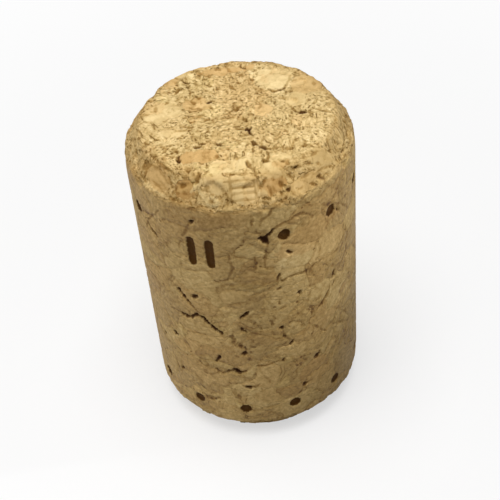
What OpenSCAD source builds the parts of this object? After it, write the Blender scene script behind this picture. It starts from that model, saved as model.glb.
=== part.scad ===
// Agglomerated cork stopper with chamfered ends, standing on its lower end.
// Millimetres, +Z up, origin at the centre of the lower end face.
// Angles round the stopper start at the front (-Y) and grow towards +X.

/* [Body] */
// Diameter of the straight wall
wall_d = 24; // [20:0.5:30]
// Height from end face to end face
body_h = 38; // [30:0.5:50]

/* [Chamfers] */
// Reach of each chamfer inwards across the end face
chamfer_in = 1.8; // [1:0.1:3]
// Reach of each chamfer along the wall
chamfer_along = 2.7; // [1.5:0.1:4]
// Radius worn on the lip at the end face and on the shoulder at the wall
edge_r = 0.9; // [0.2:0.1:1.2]

/* [Dot rings] */
// Evenly spaced places in each ring
dot_places = 13; // [8:1:16]
// Angle of the first place from the front
ring_turn = 17; // [0:1:27]
// Diameter of a dot at the wall
dot_d = 1.3; // [0.6:0.1:1.8]
// Height of the lower ring above the lower end
lower_ring_up = 5.25; // [5:0.25:8]
// Distance of the upper ring below the upper end
upper_ring_down = 6.75; // [5:0.25:8]
// Depth that dots and bars are burnt into the wall
burn_depth = 0.2; // [0.1:0.05:0.4]

/* [Bar mark] */
// Places of the upper ring that the mark takes up
mark_places = 2; // [1:1:3]
// Number of upright bars
bars = 2; // [1:1:3]
// Overall length of a bar
bar_l = 3.8; // [2:0.1:4]
// Width of a bar
bar_w = 0.9; // [0.5:0.1:1]
// Clear space between two bars
bar_gap = 1.1; // [0.5:0.1:1.5]
// Distance of the middle of the bars below the upper end
mark_down = 8.6; // [7:0.1:10]

/* [Slits] */
// Width of a slit
slit_w = 0.4; // [0.2:0.05:0.6]
// Depth of a slit
slit_depth = 0.5; // [0.2:0.05:0.8]
// Number of slits spread over the back half of the wall
back_slits = 12; // [0:1:24]

/* [Torn granules] */
// Number of torn granules on each end face
end_scars = 24; // [0:1:40]
// Number of torn granules round each chamfer
chamfer_scars = 14; // [0:1:24]
// Width of the widest torn granule
scar_d = 4; // [2:0.25:5]
// Depth of the deepest torn granule
scar_depth = 0.35; // [0.1:0.05:0.5]

/* [Crumbled edges] */
// Number of nicks round each lip and each shoulder
nicks = 12; // [0:1:20]
// Radius of the largest nick
nick_r = 1.8; // [1:0.1:2.5]
// Depth of the deepest nick
nick_depth = 0.3; // [0.1:0.05:0.4]

/* [Hidden] */

// Height of the wall that the front slits are drawn on
drawn_h = 38;
// Slits of the front half, each a line of points: angle and height
front_slits = [
    [[-42, 22.8], [-38.5, 22.3], [-36, 21]],
    [[-42.5, 19.2], [-36.5, 19.1], [-31, 20]],
    [[-32.3, 22.3], [-31.2, 22.7], [-30, 22.9]],
    [[-32, 20], [-28.6, 19.7], [-25.2, 18.9], [-18.5, 17.6]],
    [[-28.4, 33], [-27.6, 33.5], [-26.8, 33.8]],
    [[-24.4, 12.8], [-22.6, 13.5], [-21.6, 14.3]],
    [[-14.6, 12.1], [-13.3, 11.9], [-12, 11.6]],
    [[-9.6, 14.7], [-8.8, 15], [-8, 15.3]],
    [[-8.4, 20.2], [-6.6, 20.7], [-4.2, 21.3]],
    [[-8.4, 19.1], [-8, 18.5], [-6, 18.1]],
    [[4.2, 31.4], [7, 31.5], [8.6, 30.4]],
    [[7, 31.5], [9.5, 31.8], [12, 32.4]],
    [[17.4, 29.3], [18.4, 28.7], [20.8, 28.5]],
    [[11.6, 18.5], [13, 17.9], [14, 16.8], [17, 15.5], [19, 15.4]],
    [[22, 22.9], [22.6, 22.6], [23.4, 22.2]],
    [[29.4, 11.8], [32, 11.4], [34, 11.6]],
    [[43.5, 20.4], [44.6, 21.8], [43, 22.8]],
    [[46.3, 30.9], [48.5, 30.6], [50.7, 30.2]],
];
// Radius of the lip that the end slits are drawn in
drawn_lip = 10.2;
// Slits of an end face, each a line of points across it
end_slits = [
    [[-2.9, 2.5], [-2.7, 3], [-2.5, 3.4]],
    [[0.4, -2.3], [1, -2.65], [1.3, -3.5]],
    [[5.3, 1.1], [5.8, 0.1], [6.2, -0.6], [6.8, -1.3]],
    [[3.8, 3.6], [4.8, 3.8], [5.5, 4.6]],
    [[1.4, -4.6], [2.1, -5.4], [2.6, -6.1], [2.8, -6.9]],
];

// Turn of the lower end's flaws from the upper end's
lower_end_turn = 100;

wall_r = wall_d / 2;
lip_r = wall_r - chamfer_in;
chamfer_slope = atan(chamfer_in / chamfer_along);
place_step = 360 / dot_places;
// The bars stand in the middle of the places left out before the first dot
mark_angle = ring_turn - place_step * (mark_places + 1) / 2;
bar_pitch = bar_w + bar_gap;
// Share of its mouth that a dot keeps at its floor
dot_taper = 0.8;
// How far a cutter reaches out of the cork
clear = 1;
// Turn from each torn granule to the next, as seeds sit in a sunflower
golden_turn = 137.5;
body_fn = 120;
round_fn = 24;
nick_fn = 24;
scar_corners = 6;
arc_steps = 3;

// Part of x behind its point
function frac(x) = x - floor(x);

// Evenly scattered shares from 0 to 1, with one series for each stride
function scatter(i, stride) = frac(0.5 + i * stride);

// Evenly scattered shares from least to 1
function share(i, stride, least) = least + (1 - least) * scatter(i, stride);

function unit(v) = v / norm(v);

// Points of the arc of radius r that rounds corner c between points a and b
function rounded(a, c, b, r) =
    let (u = unit(a - c), v = unit(b - c),
         half = acos(u * v) / 2,
         centre = c + unit(u + v) * r / sin(half),
         start = c + u * r / tan(half) - centre,
         sweep = (180 - 2 * half) * (cross(u, v) > 0 ? -1 : 1))
    [for (k = [0:arc_steps])
        let (t = sweep * k / arc_steps)
        centre + [start.x * cos(t) - start.y * sin(t),
                  start.x * sin(t) + start.y * cos(t)]];

// Section of the lower end, from its centre to the start of the wall
function end_section() =
    let (middle = [0, 0],
         lip = [lip_r, 0],
         shoulder = [wall_r, chamfer_along],
         waist = [wall_r, body_h / 2])
    concat([middle], rounded(middle, lip, shoulder, edge_r),
           rounded(lip, shoulder, waist, edge_r));

module turned_body() {
    lower = end_section();
    upper = [for (k = [len(lower) - 1:-1:0]) [lower[k].x, body_h - lower[k].y]];
    rotate_extrude($fn = body_fn) polygon(concat(lower, upper));
}

// Stands children on the wall, their +X pointing out of it
module on_wall(angle, height)
    rotate([0, 0, angle - 90]) translate([wall_r, 0, height]) children();

module dot()
    translate([-burn_depth, 0, 0]) rotate([0, 90, 0])
        cylinder(h = burn_depth + clear,
                 d1 = dot_d * dot_taper,
                 d2 = dot_d * (1 + (1 - dot_taper) * clear / burn_depth),
                 $fn = round_fn);

module dots(height, left_out)
    for (k = [0:dot_places - 1 - left_out])
        on_wall(ring_turn + k * place_step, height) dot();

// Upright bar with round ends
module bar() {
    reach = (bar_l - bar_w) / 2;
    translate([-burn_depth, 0, 0]) {
        translate([0, -bar_w / 2, -reach]) cube([burn_depth + clear, bar_w, 2 * reach]);
        for (end = [-1, 1])
            translate([0, 0, end * reach]) rotate([0, 90, 0])
                cylinder(h = burn_depth + clear, d = bar_w, $fn = round_fn);
    }
}

module mark()
    for (k = [0:bars - 1])
        on_wall(mark_angle, body_h - mark_down)
            translate([0, (k - (bars - 1) / 2) * bar_pitch, 0]) bar();

// Upright cut along a line of points, slit_w wide and pointed at both ends
module slit(line) {
    last = len(line) - 1;
    sides = [for (k = [1:last - 1])
        let (along = unit(line[k + 1] - line[k - 1])) [-along.y, along.x] * slit_w / 2];
    left = [for (k = [1:last - 1]) line[k] + sides[k - 1]];
    right = [for (k = [last - 1:-1:1]) line[k] - sides[k - 1]];
    translate([0, 0, -slit_depth]) linear_extrude(slit_depth + clear)
        polygon(concat([line[0]], left, [line[last]], right));
}

// Slit in the wall, along points of angle and height
module wall_slit(line) {
    middle = (line[0].x + line[len(line) - 1].x) / 2;
    on_wall(middle, 0) rotate([90, 0, 90])
        slit([for (p = line) [wall_r * (p.x - middle) * PI / 180, p.y]]);
}

module wall_slits() {
    for (line = front_slits)
        wall_slit([for (p = line) [p.x, p.y * body_h / drawn_h]]);
    for (i = [0:back_slits - 1]) {
        middle = [90 + 180 * scatter(i, 0.755), body_h * (0.2 + 0.6 * scatter(i, 0.57))];
        lean = 180 * scatter(i, 0.382);
        reach = 0.5 + 1.2 * scatter(i, 0.618);
        step = [reach * cos(lean) / wall_r * 180 / PI, reach * sin(lean)];
        wall_slit([middle - step, middle + [1.2 * (scatter(i, 0.8) - 0.5), 0], middle + step]);
    }
}

// Uneven outline of the torn granule i, at most size wide
function shard(i, size) =
    [for (k = [0:scar_corners - 1])
        let (turn = 360 * (k + 0.5 * scatter(i + k, 0.755)) / scar_corners,
             reach = size / 2 * share(i * scar_corners + k, 0.618, 0.65))
        reach * [cos(turn), sin(turn)]];

// Bed of a torn granule: it falls from the surface on one side to depth on the other
module scar(i) {
    size = scar_d * share(i, 0.618, 0.6);
    depth = scar_depth * share(i, 0.57, 0.4);
    rotate([0, 0, 360 * scatter(i, 0.755)]) translate([0, 0, -depth / 2])
        rotate([0, atan(depth / size), 0]) linear_extrude(clear) polygon(shard(i, size));
}

// Slits, torn granules and nicks of the upper end, shifted round it by turn,
// with the end face at height 0
module upper_end_flaws(turn) {
    rotate([0, 0, turn]) {
        for (line = end_slits)
            slit(line * lip_r / drawn_lip);
        for (i = [0:end_scars - 1])
            rotate([0, 0, i * golden_turn - 90])
                translate([lip_r * sqrt((i + 0.5) / end_scars), 0, 0]) scar(i);
        for (i = [0:chamfer_scars - 1])
            rotate([0, 0, (i + 0.4 * scatter(i, 0.57)) * 360 / chamfer_scars - 90])
                translate([wall_r - chamfer_in / 2, 0, -chamfer_along / 2])
                    rotate([0, 90 - chamfer_slope, 0]) scar(i + end_scars);
        nick_row(wall_r, -chamfer_along, chamfer_slope / 2, 0);
        nick_row(lip_r, 0, (90 + chamfer_slope) / 2, 180 / max(1, nicks));
    }
}

// Scoops along an edge at radius r and height z, sunk square to the edge, which
// faces outwards and up by the angle lift
module nick_row(r, z, lift, turn)
    for (i = [0:nicks - 1]) {
        size = nick_r * share(i, 0.618, 0.6);
        depth = nick_depth * share(i, 0.57, 0.4);
        rotate([0, 0, turn + (i + 0.6 * scatter(i, 0.755)) * 360 / nicks - 90])
            translate([r, 0, z]) rotate([0, -lift, 0])
                translate([size - depth, 0, 0]) sphere(r = size, $fn = nick_fn);
    }

module stopper()
    color("burlywood") difference() {
        turned_body();
        translate([0, 0, body_h]) upper_end_flaws(0);
        mirror([0, 0, 1]) upper_end_flaws(lower_end_turn);
        dots(lower_ring_up, 0);
        dots(body_h - upper_ring_down, mark_places);
        mark();
        wall_slits();
    }

stopper();
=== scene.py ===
"""One agglomerated cork stopper, ground smooth on its wall and crumbly on its ends and chamfers.

The panel's lengths are in metres. Inside the mesh code and the node trees, lengths are in millimetres.
"""
import math
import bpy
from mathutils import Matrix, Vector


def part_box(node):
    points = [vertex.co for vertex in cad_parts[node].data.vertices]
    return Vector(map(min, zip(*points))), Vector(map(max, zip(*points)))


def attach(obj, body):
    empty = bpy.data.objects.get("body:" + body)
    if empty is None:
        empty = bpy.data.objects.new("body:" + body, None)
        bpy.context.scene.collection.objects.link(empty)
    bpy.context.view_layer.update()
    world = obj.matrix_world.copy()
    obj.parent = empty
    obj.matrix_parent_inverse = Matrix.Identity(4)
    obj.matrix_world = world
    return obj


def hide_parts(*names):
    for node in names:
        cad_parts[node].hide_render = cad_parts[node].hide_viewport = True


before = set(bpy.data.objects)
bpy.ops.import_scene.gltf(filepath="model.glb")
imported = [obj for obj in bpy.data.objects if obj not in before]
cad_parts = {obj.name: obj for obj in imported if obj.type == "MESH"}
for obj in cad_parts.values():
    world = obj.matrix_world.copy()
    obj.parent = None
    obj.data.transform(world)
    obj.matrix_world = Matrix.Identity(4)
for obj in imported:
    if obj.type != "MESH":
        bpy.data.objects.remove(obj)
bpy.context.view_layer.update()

from types import SimpleNamespace

import bpy
import numpy as np
from mathutils import Matrix, Quaternion, Vector, noise

bl_info = {
    "name": "Cork Stopper",
    "version": (1, 0, 0),
    "blender": (4, 5, 0),
    "location": "3D View > Sidebar > Cork",
    "description": "Makes an agglomerated cork stopper and the plain stage it stands on",
    "category": "Add Mesh",
}

MM = 0.001
LOW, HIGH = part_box("stopper")


# Settings ---------------------------------------------------------------------------------------

def a_length(name, description, default):
    """A property that holds a length."""
    return bpy.props.FloatProperty(
        name=name, description=description, default=default, unit="LENGTH", precision=5)


def an_angle(name, description, degrees):
    """A property that holds an angle."""
    return bpy.props.FloatProperty(
        name=name, description=description, default=math.radians(degrees), subtype="ANGLE")


def a_number(name, description, default):
    """A property that holds a plain number."""
    return bpy.props.FloatProperty(name=name, description=description, default=default)


def a_count(name, description, default, least=0):
    """A property that holds a whole number."""
    return bpy.props.IntProperty(name=name, description=description, default=default, min=least)


def a_tint(name, description, default):
    """A property that holds a colour."""
    return bpy.props.FloatVectorProperty(
        name=name, description=description, default=default, size=3, min=0.0, max=1.0, subtype="COLOR")


class CorkForm(bpy.types.PropertyGroup):
    """Sizes of the ground and chamfered body."""
    radius: a_length("Wall radius", "Radius of the straight wall", (HIGH.x - LOW.x) / 2)
    height: a_length("Height", "Height from end face to end face", HIGH.z - LOW.z)
    chamfer_in: a_length("Chamfer in", "Reach of a chamfer across the end face", 0.0018)
    chamfer_along: a_length("Chamfer along", "Reach of a chamfer along the wall", 0.0027)
    edge: a_length("Edge radius", "Radius worn on the lips and shoulders", 0.0009)
    columns: a_count("Columns", "Faces round the wall, a multiple of 4", 384, least=16)
    rows: a_count("Rows", "Faces from lip to lip", 192, least=8)


class CorkMarks(bpy.types.PropertyGroup):
    """Burnt dots and bars, and the natural cracks."""
    dot_places: a_count("Dot places", "Evenly spaced places in each ring of dots", 13, least=1)
    ring_turn: an_angle("Ring turn", "Angle of the first dot from the front", 17)
    dot: a_length("Dot diameter", "Diameter of a burnt dot", 0.0013)
    lower_ring: a_length("Lower ring", "Height of the lower ring above the lower end", 0.00525)
    upper_ring: a_length("Upper ring", "Distance of the upper ring below the upper end", 0.00675)
    mark_places: a_count("Mark places", "Places of the upper ring left to the bars", 2)
    bar: a_length("Bar length", "Overall length of a bar", 0.0038)
    bar_width: a_length("Bar width", "Width of a bar", 0.0009)
    bar_gap: a_length("Bar gap", "Clear space between the bars", 0.0011)
    mark_down: a_length("Mark down", "Distance of the middle of the bars below the upper end", 0.0086)
    burn_depth: a_length("Burn depth", "Depth that dots and bars are burnt in", 0.0002)
    crack_depth: a_length("Crack depth", "Depth of the darkest cracks", 0.0005)


class CorkTears(bpy.types.PropertyGroup):
    """Granules torn out of the ends, and nicks in the edges."""
    end_scars: a_count("End scars", "Torn granules on each end face", 24)
    chamfer_scars: a_count("Chamfer scars", "Torn granules round each chamfer", 14)
    scar: a_length("Scar width", "Width of the widest torn granule", 0.004)
    scar_depth: a_length("Scar depth", "Depth of the deepest torn granule", 0.00035)
    scar_corners: a_count("Scar corners", "Corners of a torn granule", 6, least=3)
    nicks: a_count("Nicks", "Nicks round each lip and each shoulder", 12)
    nick: a_length("Nick radius", "Radius of the largest nick", 0.0018)
    nick_depth: a_length("Nick depth", "Depth of the deepest nick", 0.0003)


class CorkGrain(bpy.types.PropertyGroup):
    """Sizes of the granules and of their relief."""
    granule: a_length("Granule size", "Typical width of a granule", 0.0046)
    crumb: a_length("Crumb size", "Typical width of a crumb on the ends", 0.0012)
    joint: a_length("Joint depth", "Depth of the joints between granules on the wall", 0.00006)
    step: a_length("Granule step", "Difference in height between granules on the ends", 0.0001)
    crumble: a_length("Crumble depth", "Depth of the gaps between crumbs on the ends", 0.0002)
    wobble: a_length("Edge wobble", "Unevenness of the lips and shoulders", 0.0003)


class CorkColours(bpy.types.PropertyGroup):
    """Colours of the cork."""
    wall: a_tint("Wall", "Middle tone of the ground wall", (0.59, 0.391, 0.141))
    end: a_tint("Ends", "Middle tone of the crumbly ends", (0.755, 0.546, 0.246))
    chamfer: a_tint("Chamfers", "Middle tone of the crumbly chamfers", (0.625, 0.425, 0.173))
    ridge: a_tint("Ridges", "Pale tone of the ridges on the chamfers", (0.80, 0.59, 0.27))
    crack: a_tint("Cracks", "Dark brown inside the cracks", (0.065, 0.024, 0.008))
    burnt: a_tint("Burns", "Dark brown of the burnt dots and bars", (0.08, 0.032, 0.004))
    ember: a_tint("Burn middles", "Paler brown in the middle of a burn", (0.17, 0.085, 0.025))


class CorkStage(bpy.types.PropertyGroup):
    """Light, floor and camera."""
    view_distance: a_length("View distance", "Level distance of the camera from the cork's axis", 0.088)
    view_height: a_length("View height", "Height of the camera above the floor", 0.101)
    view_roll: an_angle("View roll", "Roll of the camera", 5.6)
    lens: a_number("Lens", "Focal length in millimetres", 76.0)
    key: a_number("Key light", "Power of the lamp above, in watts", 2.33)
    side: a_number("Side light", "Power of the soft lamp on the left, in watts", 0.185)
    spot: a_number("Spot light", "Power of the narrow lamp on the right, in watts", 1.35)
    sky: a_number("Sky", "Strength of the even light all round", 0.12)
    floor: a_tint("Floor", "Colour of the floor as it lights the cork", (0.5, 0.49, 0.47))


SETTINGS = {
    "cork_form": CorkForm,
    "cork_marks": CorkMarks,
    "cork_tears": CorkTears,
    "cork_grain": CorkGrain,
    "cork_colours": CorkColours,
    "cork_stage": CorkStage,
}


# Nodes ------------------------------------------------------------------------------------------

class Net:
    """Adds nodes to a tree. Each input may be a socket or a plain value."""

    def __init__(self, tree):
        self.tree = tree

    def node(self, kind, inputs=None, **settings):
        made = self.tree.nodes.new(kind)
        for name, value in settings.items():
            setattr(made, name, value)
        for key, value in (inputs or {}).items():
            self.feed(made.inputs[key], value)
        return made

    def feed(self, socket, value):
        if isinstance(value, bpy.types.NodeSocket):
            self.tree.links.new(value, socket)
        elif socket.type == "RGBA" and len(value) == 3:
            socket.default_value = (*value, 1.0)
        else:
            socket.default_value = value

    def field(self, name, is_place=False):
        """A number, or a place, that the mesh holds for each of its points."""
        if self.tree.type == "GEOMETRY":
            kind = "FLOAT_VECTOR" if is_place else "FLOAT"
            return self.node("GeometryNodeInputNamedAttribute", {"Name": name}, data_type=kind).outputs[0]
        read = self.node("ShaderNodeAttribute", attribute_name=name)
        return read.outputs["Vector" if is_place else "Fac"]

    def math(self, operation, *values):
        return self.node("ShaderNodeMath", dict(enumerate(values)), operation=operation).outputs[0]

    def chain(self, operation, first, *others):
        """first joined with each other value in turn."""
        for other in others:
            first = self.math(operation, first, other)
        return first

    def times(self, *values):
        return self.chain("MULTIPLY", *values)

    def plus(self, *values):
        return self.chain("ADD", *values)

    def most(self, *values):
        return self.chain("MAXIMUM", *values)

    def minus(self, value, other):
        return self.math("SUBTRACT", value, other)

    def absolute(self, value):
        return self.math("ABSOLUTE", value)

    def slope(self, value, by, start=1.0):
        """start plus value times by."""
        return self.math("MULTIPLY_ADD", value, by, start)

    def less(self, value, share):
        """value with a share of it taken away."""
        return self.times(value, self.minus(1.0, share))

    def above(self, value, limit):
        """1 where value is above limit, and 0 elsewhere."""
        return self.math("GREATER_THAN", value, limit)

    def vector(self, operation, *values):
        return self.node("ShaderNodeVectorMath", dict(enumerate(values)), operation=operation).outputs[0]

    def scaled(self, vector, by):
        return self.node("ShaderNodeVectorMath", {0: vector, "Scale": by}, operation="SCALE").outputs[0]

    def length_of(self, vector):
        return self.node("ShaderNodeVectorMath", {0: vector}, operation="LENGTH").outputs["Value"]

    def parts(self, vector):
        """The three parts of a place or a random colour, as numbers."""
        return self.node("ShaderNodeSeparateXYZ", {0: vector}).outputs

    def rise(self, value, low, high, to_low=0.0, to_high=1.0):
        """A smooth rise from to_low to to_high while value goes from low to high."""
        inputs = {"Value": value, "From Min": low, "From Max": high, "To Min": to_low, "To Max": to_high}
        return self.node("ShaderNodeMapRange", inputs, interpolation_type="SMOOTHSTEP").outputs[0]

    def blend(self, share, a, b):
        """Colour b over colour a, by share."""
        return self.node("ShaderNodeMix", {0: share, 6: a, 7: b}, data_type="RGBA").outputs[2]

    def between(self, share, a, b):
        """Number between a and b, by share."""
        return self.node("ShaderNodeMix", {0: share, 2: a, 3: b}, data_type="FLOAT").outputs[0]

    def noise(self, place, pitch, detail=2.0, rough=0.5, shift=0.0, output="Fac"):
        """Noise from 0 to 1 whose lumps are about pitch mm wide."""
        inputs = {"Vector": self.vector("ADD", place, (shift,) * 3), "Scale": 1.0 / pitch,
                  "Detail": detail, "Roughness": rough}
        return self.node("ShaderNodeTexNoise", inputs, noise_dimensions="3D").outputs[output]

    def voronoi(self, place, pitch, feature="F1"):
        """Voronoi cells about pitch mm wide."""
        inputs = {"Vector": place, "Scale": self.math("DIVIDE", 1.0, pitch)}
        return self.node("ShaderNodeTexVoronoi", inputs, feature=feature, voronoi_dimensions="3D").outputs

    def cells(self, place, pitch):
        """The random colour of the cell at each place, and the way to the cell's edge in mm."""
        edge = self.voronoi(place, pitch, "DISTANCE_TO_EDGE")["Distance"]
        return self.voronoi(place, pitch)["Color"], self.times(edge, pitch)

    def sway(self, *pairs):
        """1 plus each value's swing about 0.5, times that value's reach."""
        total = 1.0
        for value, reach in pairs:
            total = self.slope(self.minus(value, 0.5), reach, total)
        return total


def emptied(owner):
    """The empty node tree of a material or a world."""
    owner.use_nodes = True
    owner.node_tree.nodes.clear()
    return Net(owner.node_tree)


# Pattern of the cork, shared by its relief and its material -------------------------------------

# Lumps that make a border uneven: width in mm, reach in mm, detail, shift
END_BORDER = ((1.6, 2.4, 3.0, 0.0), (5.0, 2.2, 1.0, 61.0))
PATCH_BORDER = ((0.55, 0.8, 2.0, 43.0), (2.4, 2.2, 2.0, 47.0))
# Bends of the granules and crumbs: reach and width in mm
GRANULE_BENDS, CRUMB_BEND = ((5.0, 5.0), (1.4, 1.2)), (0.9, 0.8)
# Granules are pressed flatter in height, and some are broken into small ones
PRESSED = (1.0, 1.0, 1.4)
SMALL_GRANULE, BROKEN_ABOVE = 0.42, 0.66
# How much a granule that stands out loses of its crumbs and flecks
PATCH_CALM = -0.85
# Ways in mm over which the pattern turns from wall to end, from disc to chamfer and into such a granule
END_RISE, CHAMFER_RISE, PATCH_RISE = (-0.1, 0.2), (4.4, 3.0), (0.06, -0.06)


def bent(net, place, reach, pitch):
    """place moved about by up to half of reach, in lumps about pitch mm wide."""
    push = net.noise(place, pitch, 1.0, output="Color")
    return net.vector("ADD", place, net.scaled(net.vector("SUBTRACT", push, (0.5,) * 3), reach))


def granules(net, place, pitch):
    """The random colour of the granule at each place, and the way to its joint in mm.

    About a third of the granules are broken into small ones.
    """
    for bend in GRANULE_BENDS:
        place = bent(net, place, *bend)
    pressed = net.vector("MULTIPLY", place, PRESSED)
    large, gap = net.cells(pressed, pitch)
    small, small_gap = net.cells(pressed, net.times(pitch, SMALL_GRANULE))
    broken = net.above(net.parts(large)[2], BROKEN_ABOVE)
    return net.blend(broken, large, small), net.between(broken, gap, net.math("MINIMUM", gap, small_gap))


def streaks(net, place, colour, long, wide, shift=0.0):
    """Noise from 0 to 1 drawn out along a direction that each random colour gives."""
    turn = {"Vector": place, "Rotation": net.scaled(colour, math.tau)}
    turned_place = net.node("ShaderNodeVectorRotate", turn, rotation_type="EULER_XYZ").outputs[0]
    return net.noise(net.vector("MULTIPLY", turned_place, (wide / long, 1.0, 1.0)), wide, 2.0, 0.55, shift)


def uneven(net, place, way, lumps):
    """A distance in mm made uneven by lumps."""
    for pitch, reach, detail, shift in lumps:
        way = net.slope(net.minus(net.noise(place, pitch, detail, shift=shift), 0.5), reach, way)
    return way


def cork_pattern(net, granule_size, crumb_size):
    """Granules, crumbs, and where the ends, the chamfers and the marked granules are."""
    at = SimpleNamespace(place=net.field("rest", is_place=True), past_shoulder=net.field("past_shoulder"))
    at.granule, at.joint_gap = granules(net, at.place, granule_size)
    crumb, at.crumb_gap = net.cells(bent(net, at.place, *CRUMB_BEND), crumb_size)
    at.tone, at.warmth, at.paleness = net.parts(at.granule)
    at.crumb_tone, at.crumb_warmth, _ = net.parts(crumb)
    # 1 on the crumbly ends and chamfers, 0 on the ground wall
    at.end = net.rise(uneven(net, at.place, at.past_shoulder, END_BORDER), *END_RISE)
    # 1 on the chamfers, 0 on the middle of the ends
    at.chamfer = net.rise(at.past_shoulder, *CHAMFER_RISE)
    # 1 inside the granules that stand out, which have fewer crumbs and flecks
    at.patch_edge = uneven(net, at.place, net.field("patch_gap"), PATCH_BORDER)
    at.patch = net.rise(at.patch_edge, *PATCH_RISE)
    at.calm = net.slope(at.patch, PATCH_CALM)
    at.crack_dark = net.field("crack_dark")
    return at


# Marks ------------------------------------------------------------------------------------------

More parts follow.
